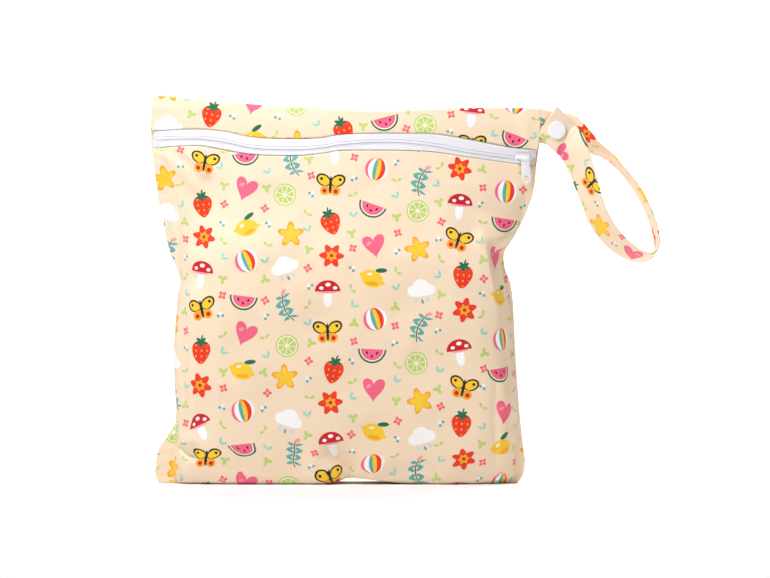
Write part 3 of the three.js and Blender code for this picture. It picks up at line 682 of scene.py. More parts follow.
# the print, in millimetres of flat cloth: motifs stand on upright columns, small fillers halfway between them
motifs = {
    "across": 31.0, "up": 26.5, "wobble": 5.0, "jitter": 2.4, "swing": 24, "size": 1.2, "softness": 0.13,
    "fillerUp": 13.25, "fillerJitter": 1.4, "fillerSwing": 60, "fillerSize": 1.15,
}
inks = {
    "ground": linear(0.962, 0.866, 0.738), "warm": linear(0.966, 0.882, 0.766),
    "red": linear(0.80, 0.07, 0.10), "scarlet": linear(0.94, 0.20, 0.07), "pink": linear(0.96, 0.40, 0.53),
    "blush": linear(0.97, 0.62, 0.64), "yellow": linear(0.98, 0.80, 0.17), "amber": linear(0.97, 0.66, 0.12),
    "green": linear(0.08, 0.42, 0.27), "teal": linear(0.36, 0.68, 0.66), "mint": linear(0.60, 0.84, 0.76),
    "lime": linear(0.76, 0.83, 0.45), "black": linear(0.10, 0.08, 0.08), "white": linear(0.985, 0.985, 0.975),
    "cream": linear(0.99, 0.95, 0.84), "sky": linear(0.72, 0.88, 0.92),
}


def ellipse(x, y, cx, cy, rx, ry, turn=0.0):
    # 1 where ((x - cx) / rx)^2 + ((y - cy) / ry)^2 < 1, with an edge of the print's softness
    if turn:
        c, s = math.cos(math.radians(turn)), math.sin(math.radians(turn))
        cx, cy = cx * c + cy * s, cy * c - cx * s
        x, y = x.plus(c, y * s), y.plus(c, x * -s)
    across, up = x.plus(1 / rx, -cx / rx), y.plus(1 / ry, -cy / ry)
    sharp = min(rx, ry) / 2 / motifs["softness"]
    return x.maths("MULTIPLY_ADD", up.plus(up, across * across), -sharp, sharp + 0.5, clamp=True)


def above(value, limit):
    # 1 where value is more than limit: 0.5 + (value - limit) / softness, clamped
    sharp = 1 / motifs["softness"]
    return value.maths("MULTIPLY_ADD", value, sharp, 0.5 - limit * sharp, clamp=True)


def below(value, limit):
    # 1 where value is less than limit: 0.5 - (value - limit) / softness, clamped
    sharp = 1 / motifs["softness"]
    return value.maths("MULTIPLY_ADD", value, -sharp, 0.5 + limit * sharp, clamp=True)


def lobes(x, y, count, radius, swing, turn=0.0):
    # 1 inside r = radius * (1 + swing * cos(count * angle + turn))
    length = x.maths("SQRT", y.plus(y, x * x))
    angle = x.maths("ARCTAN2", y, x)
    wave = x.maths("COSINE", angle.plus(float(count), math.radians(turn)))
    return below(length - wave * (radius * swing), radius)


def layers(ground, x, y, *rows):
    # shapes laid over the ground in turn, each row an ink, a form and its sizes: a spot or a mirrored pair is an
    # ellipse in x or in |x| with its middle, radii and turn, and petals are lobes with number, radius, swing and turn
    side = abs(x) if any(row[1] == "pair" for row in rows) else x
    for ink, form, *sizes in rows:
        mask = lobes(x, y, *sizes) if form == "petals" else ellipse(side if form == "pair" else x, y, *sizes)
        ground = ground.over(inks[ink], mask)
    return ground


def motifOf(*rows):
    # a motif made of such layers alone
    return lambda ground, x, y: layers(ground, x, y, *rows)


lemon = motifOf(
    ("yellow", "pair", 6.4, 0, 1.7, 1.2), ("yellow", "spot", 0, 0, 6.6, 5.1),
    ("amber", "spot", 1.2, -2.6, 3.6, 1.1, 14), ("cream", "spot", -2.4, 2.0, 1.6, 0.75, 30),
    ("green", "spot", 3.2, 6.6, 3.4, 1.35, 24),
)
butterfly = motifOf(
    ("black", "pair", 4.4, 2.9, 4.7, 3.5, 30), ("yellow", "pair", 4.2, 2.7, 3.8, 2.6, 30),
    ("amber", "pair", 3.1, -3.3, 2.9, 2.9), ("red", "pair", 3.4, -3.6, 1.3, 1.3),
    ("black", "pair", 5.6, 3.6, 0.9, 0.9), ("black", "spot", 0, 0, 0.85, 5.4),
)
blossom = motifOf(("scarlet", "petals", 6, 6.0, 0.24, 20), ("amber", "petals", 6, 2.9, 0.2, 200),
                  ("red", "spot", 0, 0, 1.1, 1.1))
star = motifOf(("amber", "petals", 5, 6.0, 0.34, -90), ("yellow", "petals", 5, 4.7, 0.34, -90))
tuft = motifOf(("lime", "petals", 3, 2.2, 0.5, 30))
twinLeaf = motifOf(("lime", "pair", 1.7, 0, 1.7, 0.85, 30))
floret = motifOf(("pink", "petals", 4, 2.2, 0.3, 0), ("yellow", "spot", 0, 0, 0.8, 0.8))
sprout = motifOf(("mint", "pair", 1.3, 0.8, 2.1, 0.8, 55))
speckle = motifOf(("teal", "pair", 1.4, 0, 0.9, 0.9), ("white", "spot", 0, 1.5, 1.0, 1.0))


def strawberry(ground, x, y):
    # an ellipse in x / (1 + y / 20), seeds on a repeated grid, a crown of five leaves and a stalk
    narrow = x / y.plus(0.05, 1.0)
    ground = layers(ground, narrow, y, ("scarlet", "spot", 0, -1.2, 5.9, 6.9))
    seedX, seedY = x.maths("PINGPONG", x.plus(1.0, 20.0), 1.7), x.maths("PINGPONG", y.plus(1.0, 20.6), 1.7)
    seeds = ellipse(seedX, seedY, 0, 0, 0.42, 0.62) * ellipse(narrow, y, 0, -1.4, 4.9, 5.7)
    ground = layers(ground.over(inks["yellow"], seeds), x, y.plus(1.5, -7.4), ("green", "petals", 5, 3.3, 0.34, 90))
    return layers(ground, x, y, ("green", "spot", 0.5, 7.6, 0.5, 1.7, -14))


def sprig(ground, x, y):
    # a stem bowed by x - 0.035 y^2, with a pair of leaves every five millimetres and a bud
    bow = x - (y * y) * 0.035
    leafY = x.maths("PINGPONG", y.plus(1.0, 30.0), 2.5)
    ground = ground.over(inks["teal"], ellipse(abs(bow), leafY, 2.7, 1.9, 2.5, 1.0, 32) * below(abs(y), 7.4))
    ground = ground.over(inks["green"], below(abs(bow), 0.36) * below(abs(y), 9.0))
    return layers(ground, bow, y, ("blush", "spot", 0, 9.0, 1.5, 1.5))


def heart(ground, x, y):
    # an ellipse in y - 2.5 sqrt|x|, with a light at its left
    raised = y - x.maths("SQRT", abs(x)) * 2.5
    ground = layers(ground, x, raised, ("pink", "spot", 0, -2.1, 6.6, 5.3))
    return layers(ground, x, y, ("blush", "spot", -3.0, 2.6, 1.7, 1.0, 40))


def toadstool(ground, x, y):
    # a stalk, the upper half of an ellipse for the cap, and three dots
    ground = layers(ground, x, y, ("white", "spot", 0, -4.0, 2.5, 5.0), ("blush", "spot", 0, 0.2, 5.2, 1.0))
    ground = ground.over(inks["red"], ellipse(x, y, 0, 0.4, 7.6, 6.6) * above(y, 0.4))
    ground = layers(ground, x - 0.4, y, ("white", "pair", 4.1, 2.4, 1.25, 1.0))
    return layers(ground, x, y, ("white", "spot", 0.3, 4.4, 1.6, 1.15))


def melon(ground, x, y):
    # the lower halves of three circles round (0, 2.6), and three seeds
    for ink, radius in (("green", 8.4), ("cream", 7.3), ("pink", 6.6)):
        ground = ground.over(inks[ink], ellipse(x, y, 0, 2.6, radius, radius) * below(y, 2.6))
    return layers(ground, x, y, ("black", "pair", 3.0, 0.4, 0.55, 0.95, -20), ("black", "spot", 0, -1.6, 0.55, 0.95))


def ball(ground, x, y):
    # meridians: x / sqrt(r^2 - y^2) cut into bands of colour
    radius = 6.9
    meridian = x / x.maths("SQRT", x.maths("MAXIMUM", (y * y).plus(-1.0, radius * radius), 0.2))
    bands = [(0.0, "pink"), (0.13, "white"), (0.34, "teal"), (0.5, "yellow"), (0.68, "scarlet"), (0.87, "white")]
    ramp = x.node("ShaderNodeValToRGB", None, {0: meridian.plus(0.5, 0.5)})
    stops = ramp.socket.node.color_ramp
    stops.interpolation = "CONSTANT"
    for place, (at, ink) in enumerate(bands):
        stop = stops.elements[place] if place < 2 else stops.elements.new(at)
        stop.position, stop.color = at, inks[ink]
    ground = ground.over(ramp, ellipse(x, y, 0, 0, radius, radius))
    return layers(ground, x, y, ("amber", "spot", 0, 5.9, 1.4, 0.8))


def cloud(ground, x, y):
    # the largest of four ellipses, with three drops under them
    puffs = ellipse(x, y, -4.4, -0.4, 3.7, 3.4)
    for sizes in ((0.2, 1.6, 4.9, 4.6), (4.9, -0.4, 3.5, 3.1), (0.3, -2.0, 7.8, 2.1)):
        puffs = x.maths("MAXIMUM", puffs, ellipse(x, y, *sizes))
    return layers(ground.over(inks["white"], puffs), x, y, ("sky", "pair", 3.6, -6.4, 0.75, 1.5, 12),
                  ("teal", "spot", 0.2, -7.2, 0.75, 1.5, 12))


def citrus(ground, x, y):
    # rings by distance from the middle, cut by |sin(4 * angle)| * distance into eight parts
    length = x.maths("SQRT", y.plus(y, x * x))
    spokes = above(abs(x.maths("SINE", x.maths("ARCTAN2", y, x) * 4.0)) * length, 0.85)
    ground = ground.over(inks["lime"], below(length, 6.8)).over(inks["cream"], below(length, 5.9))
    return ground.over(inks["lime"], spokes * below(length, 5.3) * above(length, 0.8))


def lattice(flow, across, up, wide, high, slide):
    # upright columns of cells, each column slid by half a cell and a wobble: the cell and the place inside it
    slid = across + slide
    column = flow.maths("FLOOR", slid / wide)
    odd = flow.maths("FLOORED_MODULO", column, 2.0) * (high / 2)
    raised = up + odd + flow.maths("SINE", column * 2.1 + slide) * motifs["wobble"]
    row = flow.maths("FLOOR", raised / high)
    return column, row, slid - column.plus(wide, wide / 2), raised - row.plus(high, high / 2)


def toss(flow, column, row, x, y, jitter, swing, size):
    # moves and turns each cell's motif by the cell's own noise, and sizes it
    cell = flow.node("ShaderNodeCombineXYZ", None, {0: column, 1: row})
    noise = flow.node("ShaderNodeTexWhiteNoise", {"noise_dimensions": "2D"}, {"Vector": cell}, 1)
    parts = noise.node("ShaderNodeSeparateColor", None, {0: noise}).socket.node.outputs
    first, second, third = (Flow(flow.tree, socket) for socket in parts)
    x = x - first.plus(2 * jitter, -jitter)
    y = y - second.plus(2 * jitter, -jitter)
    angle = third.plus(math.radians(2 * swing), -math.radians(swing))
    c, s = flow.maths("COSINE", angle), flow.maths("SINE", angle)
    return x.plus(c, y * s) / size, y.plus(c, -(x * s)) / size


def onlyKind(flow, kinds, kind, x):
    # pushes x far outside every motif of another kind
    return flow.maths("COMPARE", kinds, float(kind), 0.5).plus(-500.0, 500.0) + x


def tossed(flow, across, up, high, slide, jitter, swing, size, tint, drawn):
    # every motif of a list laid over the tint, each in its own cells: kind = (step * column + 3 * row) mod their number
    column, row, x, y = lattice(flow, across, up, motifs["across"], high, slide)
    step = 2.0 if slide else 5.0
    kind = flow.maths("FLOORED_MODULO", column.plus(step, row * 3.0), float(len(drawn)))
    x, y = toss(flow, column, row, x, y, jitter, swing, size)
    for number, motif in enumerate(drawn):
        tint = motif(tint, onlyKind(flow, kind, number, x), y)
    return tint


def printColour(flow, across, up):
    # the cream ground, drifting by a slow noise, then the small fillers and the motifs over them
    ground = flow.node("ShaderNodeTexNoise", {"noise_dimensions": "2D"}, {"Scale": 1.4, "Detail": 2.0})
    tint = ground.mix(inks["ground"], inks["warm"])
    tint = tossed(flow, across, up, motifs["fillerUp"], motifs["across"] / 2, motifs["fillerJitter"],
                  motifs["fillerSwing"], motifs["fillerSize"], tint, [tuft, twinLeaf, floret, sprout, speckle])
    return tossed(flow, across, up, motifs["up"], 0.0, motifs["jitter"], motifs["swing"], motifs["size"], tint, [
        strawberry, sprig, lemon, butterfly, cloud, heart, toadstool, star, melon, blossom, citrus, ball,
    ])


def flatPlace(flow):
    # the piece's own print coordinates: as they are, and across and up in millimetres
    uv = flow.node("ShaderNodeUVMap", {"uv_map": "flatCloth"})
    parts = uv.node("ShaderNodeSeparateXYZ", None, {0: uv}).socket.node.outputs
    return uv, Flow(flow.tree, parts[0]) * 100.0, Flow(flow.tree, parts[1]) * 100.0


def bump(height, strength, distance):
    # a normal bent by a height, at most distance metres high
    return height.node("ShaderNodeBump", None, {"Strength": strength, "Distance": distance, "Height": height})


def clothMaterial():
    # the print, with a bump of crossed sines for the weave and a fine noise for its slubs
    made, start, shader = newMaterial("printedCloth")
    uv, across, up = flatPlace(start)
    slub = start.node("ShaderNodeTexNoise", {"noise_dimensions": "3D"}, {"Vector": uv, "Scale": 160.0, "Detail": 3.0})
    weave = start.maths("SINE", across * 9.0) + start.maths("SINE", up * 9.0)
    dress(shader, {
        "Base Color": printColour(start, across, up), "Normal": bump(weave * 0.12 + slub, 0.16, 0.0002),
        "Roughness": slub.plus(0.16, 0.5), "Sheen Weight": 0.12, "Sheen Roughness": 0.5, "Specular IOR Level": 0.35,
    })
    return made


# whites of the zip, the enamel and the snap; line is the painted grey shade of the coil's grooves
whites = {
    "zip": (linear(0.9, 0.9, 0.915), linear(0.94, 0.94, 0.95)), "line": linear(0.66, 0.66, 0.72),
    "enamel": (linear(0.92, 0.92, 0.925), linear(0.95, 0.95, 0.955)),
    "snap": (linear(0.955, 0.95, 0.965), linear(0.985, 0.98, 0.99)),
}


def tapeMaterial():
    # white ribs along the tape, sin(6.3 up), crossed by slanting ones, sin(7 along + 3 up)
    made, start, shader = newMaterial("wovenTape")
    uv, along, up = flatPlace(start)
    ribs = start.maths("SINE", up * 6.3) * 0.5 + start.maths("SINE", along.plus(7.0, up * 3.0)) * 0.3
    tint = ribs.plus(0.4, 0.5).mix(*whites["zip"])
    dress(shader, {"Base Color": tint, "Normal": bump(ribs, 0.35, 0.0003), "Roughness": 0.8})
    return made


# coil: its loops are faint, but for those behind the slider, where x is more than openFrom
coil = {
    "pitch": 1.3, "loops": 0.02, "openLoops": 0.3, "openFrom": 131.5, "openSoft": 0.6, "loopAt": 0.42,
    "loopWidth": 0.34, "half": 2.1, "height": 0.5, "groove": 0.3, "grooveAt": 0.5, "grooveWidth": 0.08,
    "around": 50, "under": 6, "perPitch": 5, "reach": 0.985,
}


def coilMaterial():
    # white nylon with a painted grey shade line along each row of loops, where the coil's groove lies: 1.5 - 3.6 *
    # distance from the line, clamped
    made, start, shader = newMaterial("coilNylon")
    uv, along, across = flatPlace(start)
    line = start.maths("MULTIPLY_ADD", abs(abs(across) - coil["half"] * coil["grooveAt"]), -3.6, 1.5, clamp=True)
    drift = start.node("ShaderNodeTexNoise", None, {"Vector": uv, "Scale": 300.0, "Detail": 2.0})
    # painted groove shade: grey laid along each groove of the coil, where shade falls beside its rows of loops
    tint = drift.mix(*whites["zip"]).over(whites["line"], line * 0.75)
    dress(shader, {"Base Color": tint, "Roughness": drift.plus(0.1, 0.4)})
    return made


def plainMaterial(name, tints, roughness, coat, scale, bumpHeight):
    # a plain finish whose colour and height drift a little with noise on object coordinates
    made, start, shader = newMaterial(name)
    place = start.node("ShaderNodeTexCoord", None, None, 3)
    drift = start.node("ShaderNodeTexNoise", None, {"Vector": place, "Scale": scale, "Detail": 3.0})
    dress(shader, {
        "Base Color": drift.mix(*tints), "Normal": bump(drift, 0.3, bumpHeight),
        "Roughness": drift.plus(0.12, roughness - 0.06), "Coat Weight": coat, "Coat Roughness": 0.15,
    })
    return made


finishes = {
    "cloth": clothMaterial(), "tape": tapeMaterial(), "coil": coilMaterial(),
    "enamel": plainMaterial("whiteEnamel", whites["enamel"], 0.3, 0.5, 300, 0.00005),
    "snap": plainMaterial("snapPlastic", whites["snap"], 0.42, 0.15, 260, 0.00004),
}
print("materials made")

# cloth of the body: grid sizes, and where each piece starts in the print, in millimetres
clothGrid = {
    "front": {"columns": 190, "wall": 190, "floor": 9, "round": 12, "print": (26.0, 9.0)},
    "back": {"columns": 150, "wall": 150, "floor": 7, "round": 10, "print": (51.0, 20.0)},
    "band": {"columns": 190, "rows": 34, "bunch": 0.12, "print": (19.0, 11.0)},
}


def makePanel(side, name, node, head):
    # front or back layer: the panel's points at its outer side and a wall further in, closed round the rim
    grid = clothGrid[side]
    u, v = acrossSteps(grid["columns"]), panelSteps(grid["floor"], grid["round"], grid["wall"])
    outer, inner = (panelPoints(side, u, v, inset, head) for inset in (0.0, bag["wall"]))
    uv = flatCloth(outer, grid["print"], int(np.searchsorted(v, roundShare + 0.0001)))
    return settle(shell(name, outer, inner, uv, -1 if side == "front" else 1), bag["body"], "cloth", node)


def makeBand():
    # z runs from the zip's upper cloth edge to the top, s - 0.12 sin(2 pi s) of the way, both edges folded under
    grid = clothGrid["band"]
    s = np.linspace(0, 1, grid["rows"])
    u, s = np.meshgrid(acrossSteps(grid["columns"]), s - grid["bunch"] * np.sin(2 * math.pi * s))
    z = bandFoot(u) + (topHeight(u) - bandFoot(u)) * s
    hem = foldedHem(z - bandFoot(u)) + foldedHem(topHeight(u) - z)
    outer = stack(acrossBag(u, z), -(clothDepth("front", u, z, 0.0) - hem), z)
    inner = stack(acrossBag(u, z, bag["wall"] * bag["innerDraw"]), -clothDepth("front", u, z, bag["wall"]), z)
    piece = shell("topBand", outer, inner, flatCloth(outer, grid["print"]), -1)
    return settle(piece, bag["body"], "cloth", "top_band")


front = makePanel("front", "frontPanel", "front_panel", panelHead)
back = makePanel("back", "backPanel", "back_panel", topHeight)
makeBand()
print("cloth body made")


# zip: how far the tapes stand forward between the two cloth edges, and how that begins and ends
tape = {
    "forward": 1.5, "lowFrom": 0.45, "lowSoft": 0.14, "highFrom": 0.4, "highSoft": 0.12, "fadeOver": 5,
    "columns": 200, "rows": 60,
}


def tapeDepth(u, z):
    # just behind the cloth, plus forward / (1 + exp(-past low edge)) / (1 + exp(past high edge)) in the open
    low = 1 + np.exp(-(z - panelHead(u) - tape["lowFrom"]) / tape["lowSoft"])
    high = 1 + np.exp((z - bandFoot(u) + tape["highFrom"]) / tape["highSoft"])
    forward = tape["forward"] / low / high * np.clip(fromSeam(u) / tape["fadeOver"], 0, 1)
    return clothDepth("front", u, z, bag["wall"]) - zipSizes["gap"] + forward


def makeTape(name, node, foot, head):
    # a strip between two heights, a tape's wall thick, with its ends inside the side seams
    u, s = np.meshgrid(acrossSteps(tape["columns"]), np.linspace(0, 1, tape["rows"]))
    z = foot(u) + (head(u) - foot(u)) * s
    x, y = acrossBag(u, z, bag["wall"]), tapeDepth(u, z)
    outer, inner = stack(x, -y, z), stack(x, zipSizes["tapeWall"] - y, z)
    settle(shell(name, outer, inner, flatCloth(outer, (0.0, 0.0)), -1), bag["body"], "tape", node)


def makeCoil():
    # a low ridge over the split, height * (1 - t^2)^1.5, with a fine groove along each row of loops, and the loops
    # as ribs across it, loops * cos(2 pi along / pitch)
    u = np.linspace(-coil["reach"], coil["reach"], 1200)
    length = lengthAlong(np.column_stack([acrossBag(u, zipHeight(u)), zipHeight(u)]))
    even = np.linspace(0, length[-1], int(length[-1] / coil["pitch"]) * coil["perPitch"])
    u = np.interp(even, length, u)[:, None]
    t = np.concatenate([np.linspace(-1, 1, coil["around"]), np.linspace(0.9, -0.9, coil["under"])])[None]
    outer = (np.arange(t.size) < coil["around"])[None]
    z = zipHeight(u) + coil["half"] * t
    grooves = coil["groove"] * bell(np.abs(t) - coil["grooveAt"], coil["grooveWidth"])
    behindSlider = 1 / (1 + np.exp((coil["openFrom"] - acrossBag(u, zipHeight(u))) / coil["openSoft"]))
    loops = (coil["loops"] + coil["openLoops"] * behindSlider) * np.cos(2 * math.pi * even / coil["pitch"])[:, None]
    raised = coil["height"] * (1 - t ** 2) ** 1.5 - grooves
    raised = raised + loops * bell(np.abs(t) - coil["loopAt"], coil["loopWidth"])
    y = -(tapeDepth(u, z) + zipSizes["gap"] / 3 + np.where(outer, raised, 0))
    points = closedEnds(stack(acrossBag(u, z, bag["wall"]), y, z))
    uv = np.stack(np.broadcast_arrays(np.concatenate([even[:1], even, even[-1:]])[:, None], t * coil["half"]), -1)
    piece = tubeMesh("coilRidge", points, uv.reshape(-1, 2) / 100)
    settle(piece, bag["body"], "coil", "zipper_coil")


makeTape("lowerTape", "zipper_tape_lower", lambda u: panelHead(u) - zipSizes["tapeHidden"],
         lambda u: zipHeight(u) - zipSizes["tapeSplit"] / 2)
makeTape("upperTape", "zipper_tape_upper", lambda u: zipHeight(u) + zipSizes["tapeSplit"] / 2,
         lambda u: bandFoot(u) + zipSizes["tapeHidden"])
makeCoil()
print("zip made")

# slider and pull, placed by their nodes' boxes
slider = {
    "edge": 0.5, "plate": 2.0, "square": 0.55, "swell": 0.14, "sides": 48,
    "bar": 0.65, "barHigh": 1.4, "sunk": 0.6, "endGap": 0.75, "above": 0.9, "stations": 41,
}
pull = {
    "length": 17.4, "neck": 5.8, "tip": 7.2, "join": 1.2, "lean": 1.2, "wall": 1.7, "edge": 0.32, "hole": 1.8,
    "eyeInner": 1.0, "eyeOuter": 1.9, "eyeSteps": 49, "sectionSteps": 24,
}


def nodeBox(node):
    # low and high corner of a solid's box, in millimetres
    low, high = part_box(node)
    return np.array(low) / millimetre, np.array(high) / millimetre


def roundEdge(radius, count):
    # a quarter circle as pairs: radius * (1 - sin a) still to go, radius * (1 - cos a) already gone
    angles = np.linspace(0, math.pi / 2, count)
    return [(radius * (1 - math.sin(a)), radius * (1 - math.cos(a))) for a in angles]


def pebble(outline, low, high, edge, rings=7):
    # a flat plate between two depths, its outline scaled by 1 - drawn / reach round both of its edges
    centre = outline.mean(axis=0)
    reach = np.linalg.norm(outline - centre, axis=1, keepdims=True)
    turns = roundEdge(edge, rings)
    levels = [(0.0, low)] + [(toGo, low + gone) for toGo, gone in turns]
    levels += [(gone, high - toGo) for toGo, gone in turns] + [(0.0, high)]
    rows = []
    for place, (drawn, level) in enumerate(levels):
        scale = 0.0 if place in (0, len(levels) - 1) else 1 - drawn / reach
        ring = centre + (outline - centre) * scale
        rows.append(np.column_stack([ring[:, 0], np.full(len(ring), -level), ring[:, 1]]))
    return np.array(rows)


def sliderOutline(length, width):
    # superellipse, x = length / 2 * cos^square, z = width / 2 * sin^square, wider where x is more
    angle = np.linspace(0, 2 * math.pi, slider["sides"], endpoint=False)
    x = length / 2 * signedPower(np.cos(angle), slider["square"])
    z = width / 2 * signedPower(np.sin(angle), slider["square"])
    return np.column_stack([x, z * (1 - slider["swell"] + slider["swell"] * x / (length / 2))])


def tube(path, radiusX, radiusY, frameUp, sides=20):
    # rings round a path, closed to a point at both ends: centre + cos a * side * rx + sin a * up * ry
    along = unit(np.gradient(path, axis=0))
    up = unit(frameUp - along * (along @ frameUp)[:, None])
    side = np.cross(along, up)
    c, s = np.cos(circle(sides))[None, :, None], np.sin(circle(sides))[None, :, None]
    return closedEnds(path[:, None] + side[:, None] * c * radiusX + up[:, None] * s * radiusY)


def makeSlider():
    # a pebble for the plate and an arch along it for the crown, (1 - |t|^6)^0.5 of the way up
    low, high = nodeBox("zipper_slider")
    centre = (low + high) / 2
    length, width = high[0] - low[0], high[2] - low[2]
    back, front = -high[1], -low[1]
    outline = sliderOutline(length, width) + [centre[0], centre[2]]
    plate = pebble(outline, back, back + slider["plate"], slider["edge"])
    foot = back + slider["plate"] * slider["sunk"]
    t = np.linspace(-1, 1, slider["stations"])
    arch = foot + (front - slider["bar"] - foot) * (1 - np.abs(t) ** 6) ** 0.5
    reach = length / 2 - slider["endGap"]
    path = np.column_stack([centre[0] + reach * t, -arch, np.full(t.size, centre[2] + slider["above"])])
    crown = tube(path, slider["bar"], slider["barHigh"], np.array([0.0, 0.0, 1.0]))
    settle(joinMesh("sliderBody", [plate, crown]), bag["body"], "enamel", "zipper_slider")


def makePull():
    # a plate with a round hole: each section runs from the outline to the hole's edge and back, edges rounded,
    # and a squared ring for the eye on top
    low, high = nodeBox("zipper_pull")
    x, top = (low[0] + high[0]) / 2, high[2] - pull["eyeOuter"]
    middleDepth = -(low[1] + high[1]) / 2
    tipRadius, neck = pull["tip"] / 2, pull["neck"] / 2
    holeZ = top - pull["length"] + tipRadius
    arc = np.linspace(math.pi, 2 * math.pi, 33)
    tip = [(tipRadius * math.cos(a), holeZ + tipRadius * math.sin(a)) for a in arc]
    closed = np.array([(-neck, top - pull["join"]), *tip, (neck, top - pull["join"]), (-neck, top - pull["join"])])
    steps = lengthAlong(closed)
    even = np.linspace(0, steps[-1], 97)[:-1]
    rim = np.column_stack([np.interp(even, steps, closed[:, k]) for k in (0, 1)])
    angle = np.arctan2(rim[:, 1] - holeZ, rim[:, 0])
    hole = np.column_stack([pull["hole"] * np.cos(angle), holeZ + pull["hole"] * np.sin(angle)])
    toRim = unit(rim - hole)
    half, turns = pull["wall"] / 2, roundEdge(pull["edge"], 5)
    section = [(rim, -toGo, half - gone) for toGo, gone in turns]
    section += [(rim, -gone, toGo - half) for toGo, gone in turns]
    section += [(hole, toGo, gone - half) for toGo, gone in turns]
    section += [(hole, gone, half - toGo) for toGo, gone in turns]
    rows = []
    for line, shift, level in section + section[:1]:
        ring = line + toRim * shift
        leant = x + ring[:, 0] + pull["lean"] * (top - ring[:, 1]) / pull["length"]
        rows.append(np.column_stack([leant, np.full(len(ring), -(middleDepth + level)), ring[:, 1]]))
    turn = np.linspace(0, 2 * math.pi, pull["eyeSteps"])
    around = circle(pull["sectionSteps"])
    middle, thick = (pull["eyeInner"] + pull["eyeOuter"]) / 2, (pull["eyeOuter"] - pull["eyeInner"]) / 2
    radius = middle + thick * signedPower(np.sin(around), 0.7)
    eyeX = x + neck * signedPower(np.cos(around), 0.3)
    eye = stack(eyeX[None], -(middleDepth + np.outer(np.cos(turn), radius)), top + np.outer(np.sin(turn), radius))
    settle(joinMesh("pullTab", [np.array(rows), eye]), "pull", "enamel", "zipper_pull")


makeSlider()
makePull()
print("slider and pull made")

# strap: grid sizes, how its section is squared off, its two edge seams, its gathers and its slanted end
strapGrid = {"stations": 420, "fine": 4000, "around": 28, "square": 0.75, "rounding": 3, "print": (70.0, 152.0)}
strapSeam = {
    "at": 0.84, "width": 0.05, "depth": 0.16, "gather": 0.06, "wave": 6.1, "gatherAt": 0.9, "gatherWidth": 0.12,
}


def catmull(values, t):
    # smooth curve through the stations, the four nearest weighed by the Catmull-Rom cubic
    count = len(values)
    k = np.clip(np.floor(t).astype(int), 0, count - 2)
    s = (t - k)[:, None]
    a, b, c, d = (values[np.clip(k + step, 0, count - 1)] for step in (-1, 0, 1, 2))
    return 0.5 * (2 * b + (c - a) * s + (2 * a - 5 * b + 4 * c - d) * s ** 2 + (3 * b - a - 3 * c + d) * s ** 3)


def strapStations():
    # rows of x, y, z and twist: from the side seam out to the snap, round the loop, and back along the slanted tongue
    seam = float(acrossBag(1.0, strapHeight))
    flat = strapSizes["snapOut"] + strapSizes["snapFlat"]
    rows = []
    for out in (-strapSizes["sewn"], 0, strapSizes["snapOut"], flat):
        rise = strapSizes["seamRise"] * (1 - max(out, 0) / flat) ** 2
        rows.append((seam + out, 0 if out else -strapSizes["seamForward"], strapHeight + rise, 0))
    rows += [(seam + flat + row["out"] * strapSizes["reach"], row["behind"] * strapSizes["width"],
              strapHeight - row["down"] * strapSizes["drop"], row["turn"]) for row in loopRows]
    slant = math.radians(strapSizes["lapSlant"])
    snapStack = strapSizes["wall"] + strapSizes["coreHeight"] + 2 * zipSizes["gap"]
    for along in (-strapSizes["snapFlat"], 0, strapSizes["lap"] / 2, strapSizes["lap"]):
        rows.append((seam + strapSizes["snapOut"] - along * math.cos(slant), -snapStack,
                     strapHeight + along * math.sin(slant), 180))
    return np.array(rows, float)


def strapFrame(count):
    # middle line, width direction and thickness direction at even steps of length:
    # width = level sideways * cos twist - y * sin twist, squared up to the line
    stations = strapStations()
    fine = catmull(stations, np.linspace(0, len(stations) - 1, strapGrid["fine"]))
    for _ in range(strapGrid["rounding"]):
        fine[1:-1] = (fine[:-2] + 2 * fine[1:-1] + fine[2:]) / 4
    length = lengthAlong(fine[:, :3])
    even = np.linspace(0, length[-1], count)
    fine = np.column_stack([np.interp(even, length, fine[:, k]) for k in range(4)])
    middle, turn = fine[:, :3], np.radians(fine[:, 3:])
    along = unit(np.gradient(middle, axis=0))
    level = unit(np.column_stack([-along[:, 2], np.zeros(count), along[:, 0]]))
    wide = level * np.cos(turn) - np.array([0, 1, 0]) * np.sin(turn)
    wide = unit(wide - along * np.sum(wide * along, axis=1, keepdims=True))
    return middle, wide, np.cross(along, wide), even


def makeStrap():
    # section: across = width / 2 * cos a (squared off), height = wall / 2 * sin a, puffed between the edge seams
    middle, wide, thick, even = strapFrame(strapGrid["stations"])
    half = strapSizes["width"] / 2
    angle = circle(strapGrid["around"])
    upper = np.sign(np.sin(angle))
    a = half * signedPower(np.cos(angle), strapGrid["square"])
    share = np.abs(a) / half
    b = strapSizes["wall"] / 2 * upper * np.sqrt(np.maximum(1 - share ** 10, 0)) * (0.86 + 0.14 * (1 - share ** 4))
    b -= upper * strapSeam["depth"] * bell(share - strapSeam["at"], strapSeam["width"])
    gather = strapSeam["gather"] * np.sin(2 * math.pi * even / strapSeam["wave"] + np.sin(even / 11.0))[:, None]
    b = b + upper * gather * bell(share - strapSeam["gatherAt"], strapSeam["gatherWidth"])
    rings = middle[:, None] + wide[:, None] * a[None, :, None] + thick[:, None] * b[..., None]
    fromEnd = np.clip(1 - (even[-1] - even) / 8, 0, 1)[:, None] ** 2 * strapSizes["skew"]
    rings += unit(middle[-1:] - middle[-2:-1]) * (fromEnd * a / half)[..., None]
    points = closedEnds(rings)
    uv = np.stack(np.broadcast_arrays(np.concatenate([even[:1], even, even[-1:]])[:, None], a[None]), -1)
    piece = tubeMesh("wristStrap", points, (uv + strapGrid["print"]).reshape(-1, 2) / 100)
    settle(piece, bag["body"], "cloth", "strap")
    return even[-1]


print("strap made, length", round(makeStrap(), 1), "mm")

